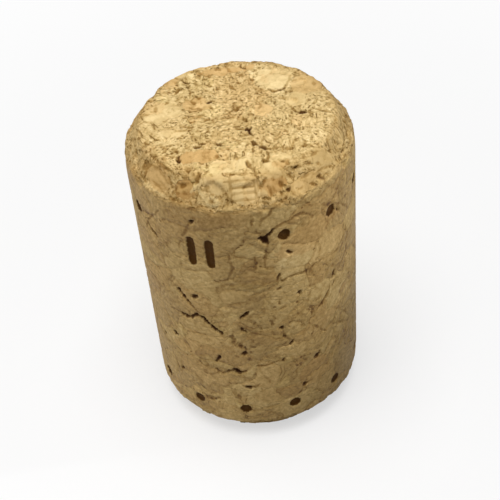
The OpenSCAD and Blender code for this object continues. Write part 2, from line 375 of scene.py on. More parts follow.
# Cracks and joints are drawn as strokes: width in mm, darkness from 0 to 1, or below 0 for a pale raised
# ridge, then the points. Their order counts, because each stroke's unevenness follows from its number.
# On the wall a point is an angle in degrees and a height in mm, on a wall 38 mm high.
DRAWN_HEIGHT = 38.0
WALL_STROKES = [
    # Open slits
    (0.5, 1, [(4.6, 31.5), (7, 31.5), (8.4, 30.6)]),
    (0.28, 0.9, [(7, 31.5), (9.5, 31.8), (11.8, 32.3)]),
    (0.34, 0.9, [(17.6, 29.1), (18.4, 28.7), (20.6, 28.6)]),
    (0.5, 1, [(-27.9, 33.4), (-26.5, 33.5)]),
    (0.7, 1, [(-41.5, 22.8), (-39.2, 22.4)]),
    (0.42, 1, [(-39.6, 22.4), (-36.8, 21.7), (-34.6, 21.2)]),
    (0.44, 0.9, [(-32.3, 22.4), (-30.2, 22.8)]),
    (0.38, 0.9, [(-42.5, 19.2), (-38.3, 19), (-34.5, 19.3), (-31.3, 20)]),
    (0.36, 1, [(-32, 20), (-28.6, 19.7), (-25.2, 18.9), (-22, 18.3), (-18.8, 17.7)]),
    (0.32, 1, [(-8.2, 20.3), (-6.6, 20.7), (-4.4, 21.2)]),
    (0.32, 1, [(-8.3, 18.9), (-8, 18.5), (-6.2, 18.2)]),
    (0.3, 1, [(-21.8, 14.1), (-22.6, 13.5), (-24.2, 13)]),
    (0.5, 1, [(-14.6, 12), (-13.2, 11.9), (-11.8, 11.6)]),
    (0.26, 0.8, [(-11.8, 11.6), (-10.2, 11.7), (-8.3, 11.9)]),
    (0.42, 0.95, [(11.9, 18.3), (13, 17.9)]),
    (0.36, 0.8, [(13.6, 17.1), (14.2, 16.5)]),
    (0.18, 0.6, [(12.8, 17.8), (14, 16.8), (15.6, 16.2), (17.4, 15.7)]),
    (0.4, 0.95, [(16.9, 15.4), (18.3, 15.7)]),
    (0.42, 0.9, [(-9, 14.8), (-7.8, 15.1)]),
    (0.5, 1, [(30.8, 11.4), (32.2, 11.6)]),
    (0.24, 0.7, [(32.2, 11.6), (34.2, 12)]),
    (0.42, 0.9, [(22.1, 22.7), (23.3, 22.4)]),
    (0.32, 0.85, [(46.2, 22.8), (45.4, 22.4), (44.4, 21.8)]),
    (0.34, 0.85, [(49, 30.8), (50.8, 30.5)]),
    # Joints and specks
    (0.2, 0.6, [(8.4, 30.8), (7.4, 29.6), (7.1, 29), (6.1, 27.9), (7.6, 27.2)]),
    (0.18, 0.5, [(7.6, 27.2), (9.6, 27.1), (11.4, 27.3)]),
    (0.26, 0.75, [(-14.6, 12), (-17.7, 11.7), (-20.8, 11.2), (-23.1, 11.2), (-25.2, 11.9)]),
    (0.5, 0.9, [(-8.7, 9.2), (-6.9, 9.1)]),
    (0.2, 0.5, [(-6.9, 9.1), (-3.6, 9.4), (-1.3, 9.7)]),
    (0.3, 0.75, [(11.6, 25.4), (13.6, 26.1)]),
    (0.28, 0.75, [(11.8, 24.1), (13.4, 24.2)]),
    (0.24, 0.5, [(-36.6, 7.9), (-33.6, 7.4)]),
    (0.22, 0.6, [(14.4, 25.1), (18.8, 25.5), (23, 25.4), (27.3, 25.2), (31.3, 25.4), (34.1, 25.7)]),
    (0.17, 0.45, [(34.1, 25.7), (36.5, 25.6), (41, 25.5), (46, 25.3), (53, 25)]),
    (0.17, 0.5, [(29, 25.6), (30.5, 24.8), (33.5, 23.6)]),
    (0.26, 0.6, [(10.4, 32.4), (14.7, 32.7), (19.7, 32.9), (22.6, 33.2), (26.2, 33.3), (31, 32.6),
        (32.8, 32)]),
    (0.22, 0.55, [(5.4, 33.1), (7, 34), (9.4, 34.1), (12.2, 35), (16.4, 35.2)]),
    (0.2, 0.65, [(54.6, 31.2), (58, 31.2), (62, 30.9)]),
    (0.16, 0.45, [(15.5, 32.6), (22, 32.4), (26.8, 31.6)]),
    (0.26, 0.6, [(2.4, 34.4), (1.8, 33.3)]),
    (0.17, 0.55, [(-46.5, 29.4), (-42.4, 28.3), (-39.4, 27.9), (-36.1, 27.9)]),
    (0.22, 0.6, [(-60, 29.2), (-57, 30.6), (-53, 31.7), (-49.6, 32.4), (-46, 33.4)]),
    (0.3, 0.75, [(-57.6, 30.4), (-55.6, 29.8), (-53, 29.4), (-50.6, 29.2)]),
    (0.2, 0.6, [(-11.6, 28.8), (-8.6, 27.8), (-10.8, 26.9), (-12.1, 26.1), (-16.5, 25.8)]),
    (0.32, 0.7, [(-2.4, 12.7), (-0.6, 12.8), (1.7, 12.6), (3.6, 12.8)]),
    (0.26, 0.6, [(3.6, 12.8), (6.2, 12.9), (9, 13.1), (12.1, 13)]),
    (0.16, 0.45, [(12.1, 13), (17.6, 12.7), (24.8, 12)]),
    (0.17, 0.4, [(-1.4, 12.6), (0.3, 11.2), (3.2, 10.3), (4.6, 9.4)]),
    (0.17, 0.4, [(17.2, 12.7), (19.4, 11.2), (18.6, 9.6), (14.5, 8.9)]),
    (0.2, 0.6, [(28, 17.4), (29.1, 16.9), (32.5, 16.2), (35.2, 15.4), (38.7, 14.5)]),
    (0.28, 0.75, [(32.5, 18.7), (35.9, 19.2), (39.1, 19.8), (42, 20.5)]),
    (0.16, 0.4, [(28.4, 19.2), (27.4, 20.6), (29.4, 22), (33, 22.4)]),
    (0.18, 0.45, [(42.5, 21.4), (41.5, 20), (38.5, 19.3)]),
    (0.26, 0.65, [(-13.4, 17.9), (-12.4, 16.8), (-9.8, 16.2), (-8.6, 16.6)]),
    (0.28, 0.6, [(-4.2, 18), (-2, 18.1), (1, 17.8)]),
    (0.24, 0.55, [(-4.8, 16.3), (-3.2, 15.7), (-1.4, 15.9)]),
    (0.22, 0.5, [(-6.5, 14.5), (-4.8, 13.6)]),
    (0.2, 0.5, [(8.8, 15.1), (11.5, 15.4), (14, 15.7)]),
    (0.2, 0.4, [(-53, 23.8), (-48.5, 23.4), (-44.5, 23.6), (-42, 22.8)]),
    (0.2, 0.4, [(-36.4, 27.4), (-37.6, 25.6), (-36.4, 24.4)]),
    (0.2, 0.4, [(-45, 17.6), (-43.4, 16.9), (-40.2, 16.4), (-33.8, 16.9), (-28.6, 17.2)]),
    (0.2, 0.4, [(-36, 11.6), (-33.4, 12.6), (-30.4, 12.8)]),
    (0.2, 0.45, [(-31.5, 10.4), (-26.5, 10.7), (-23.6, 11.2)]),
    (0.22, 0.45, [(-16.4, 8.4), (-15.4, 7.2), (-13.4, 6.9), (-12.6, 8)]),
    (0.26, 0.7, [(19.6, 6.6), (21.8, 7.1)]),
    (0.42, 0.85, [(22.4, 7.6), (24.4, 7.9)]),
    (0.2, 0.55, [(24.4, 7.9), (28.4, 7.9)]),
    (0.2, 0.45, [(42, 35.2), (44.5, 34.3), (50, 33.4), (54, 32.2)]),
    (0.26, 0.7, [(-14.6, 17.7), (-14, 17.2)]),
    (0.3, 0.75, [(-14, 16.8), (-13, 16.4)]),
    (0.26, 0.7, [(-12.6, 16.3), (-11.6, 16)]),
    (0.3, 0.75, [(-10.1, 16), (-8.9, 16.1)]),
    (0.26, 0.7, [(-7.8, 15.9), (-6.9, 15.6)]),
    (0.24, 0.6, [(-3.2, 16), (-2, 15.8)]),
    (0.24, 0.6, [(-6.4, 13.9), (-5.4, 14.1)]),
    (0.42, 0.85, [(11.4, 12.9), (12.9, 13.1)]),
    (0.24, 0.6, [(24, 11.7), (25.6, 11.9)]),
    (0.26, 0.65, [(29, 15.4), (30, 15.6)]),
    (0.26, 0.65, [(29.4, 18.5), (30.8, 18.7)]),
    (0.26, 0.6, [(7.4, 19.3), (8.2, 18.9)]),
    (0.6, 1, [(-50.3, 14.7), (-48.9, 14.9)]),
    (0.5, 0.9, [(-61.5, 13), (-60.1, 13.1)]),
    (0.44, 0.9, [(-49, 8.9), (-47.8, 9.1)]),
    (0.26, 0.6, [(-26.6, 16.5), (-25.2, 16.3)]),
    (0.26, 0.6, [(-23.4, 23.1), (-22.2, 22.9)]),
    (0.26, 0.65, [(-34.8, 21.2), (-31.9, 20.7), (-29.4, 20.4)]),
    (0.2, 0.5, [(-50, 18.9), (-46.5, 19.3), (-42.5, 19.2)]),
    (0.3, 0.8, [(12.4, 25.6), (13.6, 26.2)]),
    (0.28, 0.75, [(13.6, 24.9), (14.8, 25.3)]),
    (0.26, 0.65, [(29.2, 24.9), (31, 25.5)]),
    (0.3, 0.8, [(45.8, 21.2), (44.8, 20.7)]),
    (0.22, 0.55, [(50.5, 22.5), (53.5, 22.9), (56.5, 23.4), (59.5, 24.3)]),
    (0.22, 0.5, [(51, 24.3), (53.5, 25.1), (56, 25.6)]),
    (0.5, 0.55, [(-33.6, 5.8), (-30.4, 6.1), (-25, 6.5)]),
    (0.24, 0.55, [(-33.1, 31.2), (-31.2, 31.8), (-29.9, 32.6), (-27.9, 33.3)]),
    (0.3, 0.55, [(-28.4, 35), (-25.6, 35.2), (-23, 34.9)]),
    (0.22, 0.6, [(47.2, 31.5), (48.4, 31.2)]),
    (0.24, 0.6, [(-12.4, 14.4), (-11.2, 14.2)]),
    (0.22, 0.6, [(-4.8, 15.2), (-3.8, 14.8)]),
    (0.22, 0.6, [(1.4, 18.8), (2.6, 18.5)]),
    (0.22, 0.6, [(-1.8, 19.4), (-0.8, 19.7)]),
    (0.22, 0.55, [(-16.8, 8.2), (-16, 7.7)]),
    (0.22, 0.55, [(-14.6, 7.8), (-13.8, 7.3)]),
    (0.22, 0.55, [(-13.2, 7), (-12.4, 6.6)]),
    (0.22, 0.55, [(-9.6, 26.4), (-8.8, 25.8)]),
    (0.22, 0.55, [(-62.6, 8.9), (-61.6, 8.4)]),
    (0.22, 0.6, [(-31.8, 10.9), (-30.2, 10.8)]),
    (0.22, 0.55, [(16.6, 18.7), (17.6, 18.3)]),
    (0.22, 0.55, [(20.8, 19.8), (22, 19.5)]),
    (0.22, 0.55, [(36, 26.8), (37, 27.4)]),
    (0.22, 0.55, [(57.6, 27.4), (58.6, 26.4)]),
    (0.2, 0.6, [(-6.2, 13.5), (-5.2, 14.2)]),
    (0.2, 0.5, [(-3.8, 17.2), (-2.6, 16.6)]),
    (0.2, 0.6, [(-10.8, 29.8), (-10.2, 28.9)]),
    (0.2, 0.55, [(-9.4, 28.5), (-9.9, 27.6)]),
    (0.2, 0.55, [(-8.4, 30.4), (-7.4, 29.8)]),
    (0.2, 0.5, [(-11.8, 27.2), (-10.8, 26.7)]),
    (0.2, 0.5, [(-15.8, 8.5), (-14.8, 7.8)]),
    (0.2, 0.5, [(-12.6, 5.6), (-12, 6.4)]),
    (0.26, 0.65, [(6.6, 19.8), (7.8, 18.9)]),
    (0.2, 0.55, [(8.4, 20.4), (9.4, 19.8)]),
    (0.24, 0.6, [(11.6, 21.8), (12.8, 22.6)]),
    (0.22, 0.55, [(1.4, 29.4), (2.2, 28.4), (1.6, 27.4)]),
    (0.26, 0.4, [(39, 24.6), (46, 23.4), (55, 22.4)]),
    (0.26, 0.4, [(43, 17.6), (50, 16.2), (57, 14.2)]),
    (0.24, 0.45, [(45, 14.6), (52, 13.6), (59, 12.4)]),
    (0.24, 0.5, [(49, 31.6), (55, 30.5), (60, 29.4)]),
    (0.24, 0.5, [(38, 33), (43, 32.4), (47, 31.6)]),
    (0.18, 0.4, [(-33.4, 31), (-35.4, 30.2), (-36.6, 28.8)]),
    (0.2, 0.45, [(27, 35.4), (29.8, 34.2), (33, 33.4)]),
]
# On a rim, a point is an angle in degrees and a way in mm down from the lip.
RIM_STROKES = [
    (0.3, 0.45, [(-61, 0.1), (-52, 0.15), (-45, 0.3), (-37, 0.55)]),
    (0.22, 0.35, [(-56, 0.8), (-50, 0.9), (-45, 1.3), (-40, 1.7)]),
    (0.2, 0.3, [(-51, 1.5), (-45, 2), (-41, 2.3)]),
    (0.26, 0.4, [(-53, 2.2), (-47, 2.4), (-42, 2.7)]),
    (0.8, 0.5, [(-61, 1.7), (-59.8, 1.2), (-57.5, 1)]),
    (0.28, -0.4, [(-60, 3), (-48, 2.9), (-40, 3.1)]),
    (0.44, 0.6, [(-33.4, 1.5), (-31.8, 1.35)]),
    (0.3, 0.45, [(-36, 1.2), (-34.6, 1.3)]),
    (0.32, 0.45, [(-37, 2.1), (-36, 1.7)]),
    (0.3, 0.4, [(-31.6, 1.9), (-29.6, 2.1)]),
    (0.5, 0.4, [(-37.4, 2.9), (-34, 2.8)]),
    (0.3, -0.5, [(-27.4, 1.7), (-24.5, 0.9), (-22, 1.7), (-19.6, 2.2)]),
    (0.3, -0.6, [(-18.6, 2.3), (-17.6, 2.75), (-15.8, 2.9), (-14, 2.6), (-14, 2.1), (-15.6, 1.85),
        (-17.6, 1.9), (-18.6, 2.3)]),
    (0.32, 0.45, [(-16.6, 2.35), (-15.4, 2.4)]),
    (0.34, 0.4, [(-21, 1.2), (-18.8, 0.95), (-17.6, 1.1)]),
    (0.34, 0.6, [(-25.9, -0.6), (-25.3, 0.2), (-24.8, 0.8)]),
    (0.32, 0.85, [(-46, -1.65), (-44, -1.4), (-41.6, -1.1)]),
    (0.45, 0.4, [(-54.8, -2.2), (-53, -2)]),
    (0.3, 0.4, [(-52.6, -0.6), (-51, -0.45)]),
    (0.4, 0.5, [(-32.6, -0.8), (-31.6, -0.2)]),
    (0.34, 0.4, [(-35.6, -0.75), (-34.2, -0.6)]),
    (0.34, 0.45, [(-23.2, -1.7), (-22.4, -1.4)]),
    (0.36, 0.45, [(-18.6, -0.5), (-17.2, -0.3)]),
    (0.4, 0.5, [(-20.2, -3.3), (-18.6, -3.1)]),
    (0.5, -0.4, [(-13.6, 0.35), (-11, 0.5)]),
    (0.22, 0.45, [(-7.2, -0.4), (-7, 0.6), (-6.6, 2.3)]),
    (0.34, 0.65, [(-6.6, -0.75), (-5.4, -0.5)]),
    (0.16, 0.55, [(-13, 0.5), (-6.8, 0.3), (0, 0.25), (5.8, 0.35)]),
    (0.2, 0.6, [(-6.2, 1), (-1, 0.95), (4, 1), (6, 1.05)]),
    (0.16, 0.6, [(-6.2, 1.55), (0, 1.5), (6, 1.6)]),
    (0.16, 0.55, [(-6, 2.2), (0, 2.15), (5, 2.25)]),
    (0.3, 0.4, [(-4, -3.2), (-1, -3), (2, -2.9)]),
    (0.36, 0.8, [(3.6, -2.1), (4.4, -1.7), (5.8, -1.4)]),
    (0.22, 0.45, [(6.4, -1.3), (7.2, -0.6), (7.4, 1.4)]),
    (0.42, 0.6, [(15.2, -1.8), (18, -2), (20.4, -2.5)]),
    (0.4, 0.5, [(28.4, -3.2), (30.2, -3)]),
    (0.42, 0.6, [(36.8, -2.5), (38.8, -2.3)]),
    (0.3, 0.45, [(44, -1.5), (47, -1.55), (49.6, -1.6)]),
    (0.34, 0.45, [(26.4, -1), (28.4, -0.95)]),
    (0.4, 0.5, [(27, -0.4), (28.2, -0.5)]),
    (0.32, 0.4, [(52.4, -0.9), (53.6, -0.8)]),
    (0.6, -0.3, [(33, -1), (38, -0.9)]),
    (0.32, 0.6, [(29.4, 0.4), (32.6, 0.35)]),
    (0.32, 0.6, [(37, 0.65), (39.2, 0.75)]),
    (0.32, 0.45, [(42.6, 0.1), (47.4, 0.2)]),
    (0.32, 0.6, [(7.8, 1.1), (9.6, 1.05)]),
    (0.32, 0.45, [(10.4, 0.6), (11.8, 0.7)]),
    (0.3, 0.5, [(12.4, 1.2), (13.3, 1.8), (12.8, 2.2), (14.4, 2.2)]),
    (0.22, 0.45, [(14.6, 1.4), (15.8, 2)]),
    (0.36, 0.6, [(18.4, 1.2), (20.2, 1.6)]),
    (0.34, 0.85, [(20.6, 2), (22, 2.1), (23.2, 2.05)]),
    (0.26, 0.45, [(31, 1.6), (34, 1.5), (38, 1.6)]),
    (0.22, 0.45, [(36, 2.05), (38, 1.9), (45, 1.9), (48.2, 2.2)]),
    (0.34, 0.65, [(33.6, 2.5), (35, 2.7), (37, 2.85)]),
    (0.34, 0.75, [(39.4, 2.3), (41.4, 2.6), (42.6, 2.9)]),
    (0.3, 0.65, [(48, 2.2), (50, 2.3)]),
    (0.5, -0.4, [(9, 1.6), (10.6, 2.1)]),
    (0.3, 0.4, [(12, 3.1), (16, 2.95), (20, 2.8)]),
    (0.26, 0.55, [(31, 0.4), (32.4, 0.6)]),
    (0.16, 0.45, [(-20.6, 1.3), (-17.6, 1.5), (-13.6, 1.8), (-10.8, 2.3)]),
    (0.18, 0.5, [(-11.4, 0.8), (-9.4, 1.4), (-8.4, 2.2)]),
    (0.2, 0.5, [(24, 0.7), (26.5, 1.2), (28.6, 1.1)]),
    (0.2, 0.5, [(26, 2.2), (28, 2.6), (30, 2.4)]),
    (0.2, 0.5, [(14.8, 0.6), (16.6, 0.9)]),
    (0.22, 0.5, [(42, 1), (44, 1.4)]),
    (0.2, 0.5, [(-56, -0.9), (-54.4, -0.6)]),
    (0.2, 0.45, [(-43, 0.9), (-40.6, 1.3), (-38.6, 1.9)]),
    (0.2, 0.45, [(-47.6, 0.5), (-44.4, 0.9)]),
    (0.24, 0.5, [(18.6, 1.35), (20, 1.2)]),
    (0.24, 0.5, [(8.4, 1), (9.8, 1.2)]),
    (0.24, 0.5, [(12.2, 1.8), (13.6, 1.6)]),
    (0.22, 0.5, [(8.4, 2.2), (9.6, 2.4)]),
    (0.18, 0.5, [(5.6, 0.4), (5.8, 1.4), (6.2, 2.4)]),
    (0.26, 0.5, [(-59.6, 1.6), (-58, 1.9), (-58.4, 2.6)]),
]
# On an end a point is x and y in mm, seen from above with the front down, on a lip 10.2 mm in radius.
DRAWN_LIP = 10.2
END_STROKES = [
    # Open slits
    (0.34, 1, [(-2.85, 2.6), (-2.65, 3)]),
    (0.46, 1, [(0.55, -2.5), (0.9, -2.65), (1.25, -2.6)]),
    (0.36, 0.9, [(1.05, -2.9), (1.25, -3.4)]),
    (0.22, 0.5, [(5.2, 1.4), (5.7, 0.3), (6, -0.2)]),
    (0.28, 0.7, [(5.6, 0.15), (6.1, -0.35)]),
    (0.4, 0.9, [(6.2, -0.45), (6.5, -0.75), (6.95, -0.7)]),
    (0.36, 0.8, [(4.5, 3.5), (5.05, 3.75), (5.4, 4.2)]),
    (0.38, 0.8, [(1.2, -4.5), (1.8, -5.2)]),
    (0.38, 0.85, [(1.9, -5.3), (2.5, -6)]),
    # Joints and specks
    (0.26, 0.6, [(-0.2, -2.5), (0.5, -2.45)]),
    (0.22, 0.5, [(2.4, 3.9), (3.2, 3.8), (3.9, 3.7)]),
    (0.34, 0.7, [(3.8, 3.7), (4.4, 3.45)]),
    (0.2, 0.45, [(5.4, 4.3), (5.8, 5.2), (6.1, 6.2)]),
    (0.36, 0.65, [(-5.3, -4.7), (-4.8, -4.6)]),
    (0.38, 0.8, [(-4.5, -4.8), (-4, -4.85)]),
    (0.34, 0.75, [(-3.8, -4.35), (-3.3, -4.05)]),
    (0.26, 0.55, [(-3.2, -3.9), (-2.4, -4)]),
    (0.38, 0.8, [(-2.2, -4.2), (-1.95, -4.8)]),
    (0.24, 0.5, [(-6.2, -6), (-6, -6.5)]),
    (0.32, 0.65, [(2.6, -6.1), (3.3, -6.25)]),
    (0.26, 0.55, [(3.4, -6), (4.4, -6.2)]),
    (0.36, 0.65, [(4.6, -6), (5.2, -6.2)]),
    (0.36, 0.55, [(5.8, -6.2), (6.5, -6.2)]),
    (0.26, 0.5, [(-0.8, -6.6), (-0.2, -7.1), (0.5, -7.2)]),
    (0.28, 0.6, [(0.5, -7.7), (0.95, -8.8)]),
    (0.22, 0.45, [(0.95, -8.8), (1.3, -9.5)]),
    (0.36, 0.65, [(2.2, -8.1), (2.7, -7.4)]),
    (0.26, 0.45, [(3.5, -8), (4.4, -8.5)]),
    (0.32, 0.6, [(-3.6, -0.45), (-3.2, -0.2), (-2.3, -0.3)]),
    (0.22, 0.4, [(-2, -0.5), (-0.9, -0.4)]),
    (0.42, 0.65, [(0.1, 1.4), (0, 0.7)]),
    (0.32, 0.55, [(0.5, -0.3), (0.95, -1.2)]),
    (0.42, 0.65, [(-2.8, 6.1), (-2.3, 5.8)]),
    (0.36, 0.55, [(0.4, 5.9), (0.8, 5.5)]),
    (0.32, 0.45, [(-0.4, 5.4), (0, 4.9)]),
    (0.26, 0.5, [(-8.7, -0.2), (-8.4, -1.1)]),
    (0.42, 0.65, [(-9.5, -3.1), (-9, -3.5)]),
    (0.3, 0.5, [(-8.6, -3), (-7.9, -3)]),
    (0.28, 0.5, [(8.1, -0.4), (8.8, -0.8), (9.4, -1.1)]),
    (0.32, 0.45, [(7.7, -1.6), (8.2, -2)]),
    (0.32, 0.6, [(-4.6, 3.3), (-4.2, 2.5)]),
    (0.32, 0.6, [(-4, 3.9), (-3.6, 3.4)]),
    (0.32, 0.55, [(-4.9, 2.2), (-4.4, 1.8)]),
    (0.42, 0.65, [(-3.9, 2), (-3.5, 1.5)]),
    (0.3, 0.5, [(-2.8, 1.9), (-2.3, 1.4)]),
    (0.36, 0.45, [(-1.9, 9.2), (-1.3, 8.3)]),
    (0.36, 0.45, [(-0.6, 8.9), (-0.1, 7.8)]),
    (0.32, 0.45, [(-3.9, 9), (-3.5, 8.3)]),
    (0.32, 0.4, [(0.8, 8.9), (1.4, 8.1)]),
    (0.32, 0.45, [(6.7, 6.5), (6.4, 5.8)]),
    (0.32, 0.4, [(8.3, 4.6), (8.4, 3.8)]),
    (0.36, 0.45, [(-9.2, 4.2), (-8.3, 3.8)]),
    (0.26, 0.45, [(2.3, 2.2), (2.6, 1.2), (2.2, 0.4)]),
    (0.26, 0.45, [(-6.6, -1.4), (-5.8, -1.9), (-4.9, -1.8)]),
    (0.26, 0.5, [(-5.3, 3.9), (-4.9, 3.5)]),
    (0.24, 0.5, [(7.4, -4.3), (7.8, -4.9)]),
    (0.22, 0.5, [(-0.5, -7), (0.2, -6.95)]),
    (0.22, 0.45, [(-7.6, -4.2), (-6.8, -4.9), (-5.9, -5.4)]),
    (0.2, 0.45, [(-7.2, 5.2), (-6.5, 5.6)]),
    (0.2, 0.45, [(3.3, -1.4), (4.2, -1.9)]),
    (0.2, 0.45, [(-1.6, -2.4), (-0.8, -2.2)]),
]
# Granules that stand out: place as for the strokes, half sizes in mm, tilt in degrees, lightness, redness
WALL_PATCHES = [
    (20, 26.8, 3.4, 1.5, 0, 0.1, 0),
    (34, 20.7, 2.4, 1.6, 10, 0.09, 0),
    (31, 29.6, 4, 1.9, 10, 0.05, 0.5),
    (-40, 28.4, 1.6, 1.1, 20, 0.07, 0),
    (-33, 9.2, 2.3, 1.2, -10, 0.1, 0),
    (8, 10.6, 2.9, 2.2, 0, 0.03, 0),
    (4, 7.3, 2.4, 1.3, 0, -0.08, 0.2),
    (4, 27, 2, 2, 0, -0.05, 0.3),
    (-12, 34, 2.6, 1.2, 0, -0.07, 0.1),
    (31, 9, 2.4, 2, -20, -0.02, 0.5),
    (-14, 23.6, 3, 1.4, -15, -0.04, 0),
    (-36, 14, 3, 1.2, 15, -0.05, 0.4),
    (-54, 30.4, 1.6, 1, 20, -0.06, 0.4),
    (-55, 33.2, 2.6, 1.8, 0, 0.1, 0),
    (44, 28, 2.4, 2.4, 0, 0.08, 0.1),
    (50, 17.5, 2.6, 2.4, 0, 0.11, 0),
    (4, 17.4, 2.2, 1.3, 0, -0.05, 0.2),
]
END_PATCHES = [
    (4.2, 5.9, 1.9, 2.2, 20, 0.08, 0),
    (7.4, 4.1, 1.6, 1.7, 0, -0.03, 0.4),
    (-0.9, -8, 2.1, 1.3, 0, 0.13, 0),
    (4, -7.4, 1.6, 0.9, 10, 0.12, 0),
    (-3.9, -6.2, 1.8, 1.2, 0, -0.08, 0.8),
    (2.6, -9.2, 1.3, 0.8, 0, 0.1, 0),
    (-7.6, 1.6, 1.9, 1.6, 30, 0.06, 0),
    (2.7, 0.2, 1, 1.3, 0, 0.04, 0.6),
    (-0.5, 8.3, 2.4, 0.9, 0, -0.05, 0.8),
    (-4, 2.6, 1.4, 1.3, 0, -0.03, 0.6),
    (-6.9, -2, 1.2, 0.7, 0, 0.08, 0),
    (6, 1.6, 1.6, 1, 60, 0.07, 0),
]
RIM_PATCHES = [
    (0, 1.1, 1.6, 1.6, 0, 0.22, 0),
    (-14, 0.6, 1.3, 1, 0, 0.18, 0),
    (20, -0.7, 2.2, 0.6, 0, 0.05, 0.5),
    (-48, 1.4, 2.2, 1.2, 0, 0.02, 0.5),
    (-31, 1.7, 1.2, 1, 0, -0.13, 0.8),
    (14, 1.5, 1.3, 0.8, 0, -0.04, 0.8),
    (33, 2, 1.6, 0.8, 0, 0.06, 0.2),
    (47, 1.2, 1.4, 1, 10, 0.08, 0),
]
ENDS = ("upper end", "lower end")
# Turns in degrees: the lower end repeats the upper end's marks, and the back of a rim those at its front
LOWER_END_TURN, BACK_TURN = 100, -148
# Each rim stroke is drawn four times: where, stretch, turn in degrees
RIM_COPIES = (("upper rim", 1.0, 0), ("lower rim", 1.0, LOWER_END_TURN),
              ("upper rim", 0.9, BACK_TURN), ("lower rim", 1.1, -20))
BACK_SLITS, BACK_SLIT_WIDTH, BACK_SLIT_DARKNESS = 12, 0.34, 0.95
# In mm: the steps of a stroke and how crooked they are, a gap past every mark, and how far marks reach
STROKE_STEP, STROKE_SHAKE = 0.3, 0.22
FAR = 99.0
STROKE_REACH, PATCH_REACH, TEAR_REACH, TEAR_LEVEL = 1.0, 6.0, 3.5, 1.0
# Turn in degrees from one torn granule to the next, then seed, width and reach of their ragged edges
GOLDEN_TURN = 137.5
RAGGED_SEED, RAGGED_PITCH, RAGGED_REACH = 1, 0.8, 0.3


def scatter(i, stride):
    """Evenly scattered shares from 0 to 1, with one series for each stride."""
    return (0.5 + i * stride) % 1.0


def scatter_from(least, i, stride):
    """Evenly scattered shares from least to 1."""
    return least + (1 - least) * scatter(i, stride)


def back_slits(section):
    """Slits scattered over the back of the wall, drawn as strokes."""
    for i in range(BACK_SLITS):
        angle, height = 90 + 180 * scatter(i, 0.755), section.height * (0.2 + 0.6 * scatter(i, 0.57))
        lean, reach = math.pi * scatter(i, 0.382), 0.5 + 1.2 * scatter(i, 0.618)
        across, up = math.degrees(reach * math.cos(lean) / section.radius), reach * math.sin(lean)
        bow = 1.2 * (scatter(i, 0.8) - 0.5)
        line = [(angle - across, height - up), (angle + bow, height), (angle + across, height + up)]
        yield BACK_SLIT_WIDTH, BACK_SLIT_DARKNESS, line, "wall"


def drawn_strokes(section):
    """Every stroke as (width, darkness, points, where), fitted to the body's height and lips."""
    tall, wide = section.height / DRAWN_HEIGHT, section.lip_r / DRAWN_LIP
    for width, dark, line in WALL_STROKES:
        yield width, dark, [(angle, height * tall) for angle, height in line], "wall"
    yield from back_slits(section)
    for width, dark, line in RIM_STROKES:
        for where, stretch, turn in RIM_COPIES:
            yield width, dark, [(angle * stretch + turn, way) for angle, way in line], where
    for width, dark, line in END_STROKES:
        for where in ENDS:
            yield width, dark, [(x * wide, y * wide) for x, y in line], where


def strokes(section):
    """Every crack and joint as (points, half widths, darkness), in close steps and slightly crooked."""
    made = []
    for i, (width, dark, line, where) in enumerate(drawn_strokes(section)):
        line = np.array(line, float)
        size = np.ones(2) if where in ENDS else np.array([section.radius * math.pi / 180, 1.0])
        ways = np.concatenate([[0.0], np.cumsum(np.linalg.norm(np.diff(line * size, axis=0), axis=1))])
        count = max(3, int(ways[-1] / STROKE_STEP) + 1)
        steps = np.linspace(0, ways[-1], count)
        flat = np.stack([np.interp(steps, ways, part) for part in line.T], 1)
        shake = np.array([[scatter(7 * i + k, 0.618), scatter(3 * i + k, 0.755)] for k in range(count)])
        flat += min(STROKE_SHAKE, 0.5 * width) * (shake - 0.5) / size
        # Thinner towards both ends, and swelling and shrinking between them
        ends = np.sin(math.pi * np.linspace(0.12, 0.88, count)) ** 0.6
        swell = np.array([0.6 + 0.8 * scatter(5 * i + 2 * k, 0.57) for k in range(count)])
        made.append((places_on(section, flat, where), 0.5 * width * ends * swell, dark))
    return made


def places_on(section, flat, where):
    """Places in mm of points drawn on the wall, a rim or an end."""
    if where == "upper end":
        return np.column_stack([flat, np.full(len(flat), section.height)])
    if where == "lower end":
        x, y = flat.T
        c, s = math.cos(math.radians(LOWER_END_TURN)), math.sin(math.radians(LOWER_END_TURN))
        return np.column_stack([x * c - y * s, x * s + y * c, np.zeros(len(flat))])
    if where == "wall":
        radius, height = np.full(len(flat), section.radius), flat[:, 1]
    else:
        radius, height = section.at(section.lip_way + flat[:, 1])
        if where == "upper rim":
            height = section.height - height
    turn = np.radians(flat[:, 0])
    return np.column_stack([radius * np.sin(turn), -radius * np.cos(turn), height])


def stroke_gap(places, made):
    """Distance in mm from each place to the nearest stroke's edge, and that stroke's darkness."""
    gap, dark = np.full(len(places), FAR), np.zeros(len(places))
    for line, half, shade in made:
        low, high = line.min(0) - STROKE_REACH, line.max(0) + STROKE_REACH
        near = np.flatnonzero(((places > low) & (places < high)).all(1))
        here = places[near]
        least = gap[near]
        for k in range(len(line) - 1):
            a, run = line[k], line[k + 1] - line[k]
            along = np.clip((here - a) @ run / max(run @ run, 1e-9), 0, 1)
            away = np.linalg.norm(here - a - along[:, None] * run, axis=1)
            least = np.minimum(least, away - half[k] - along * (half[k + 1] - half[k]))
        closer = least < gap[near]
        gap[near[closer]] = least[closer]
        dark[near[closer]] = shade
    return gap, dark


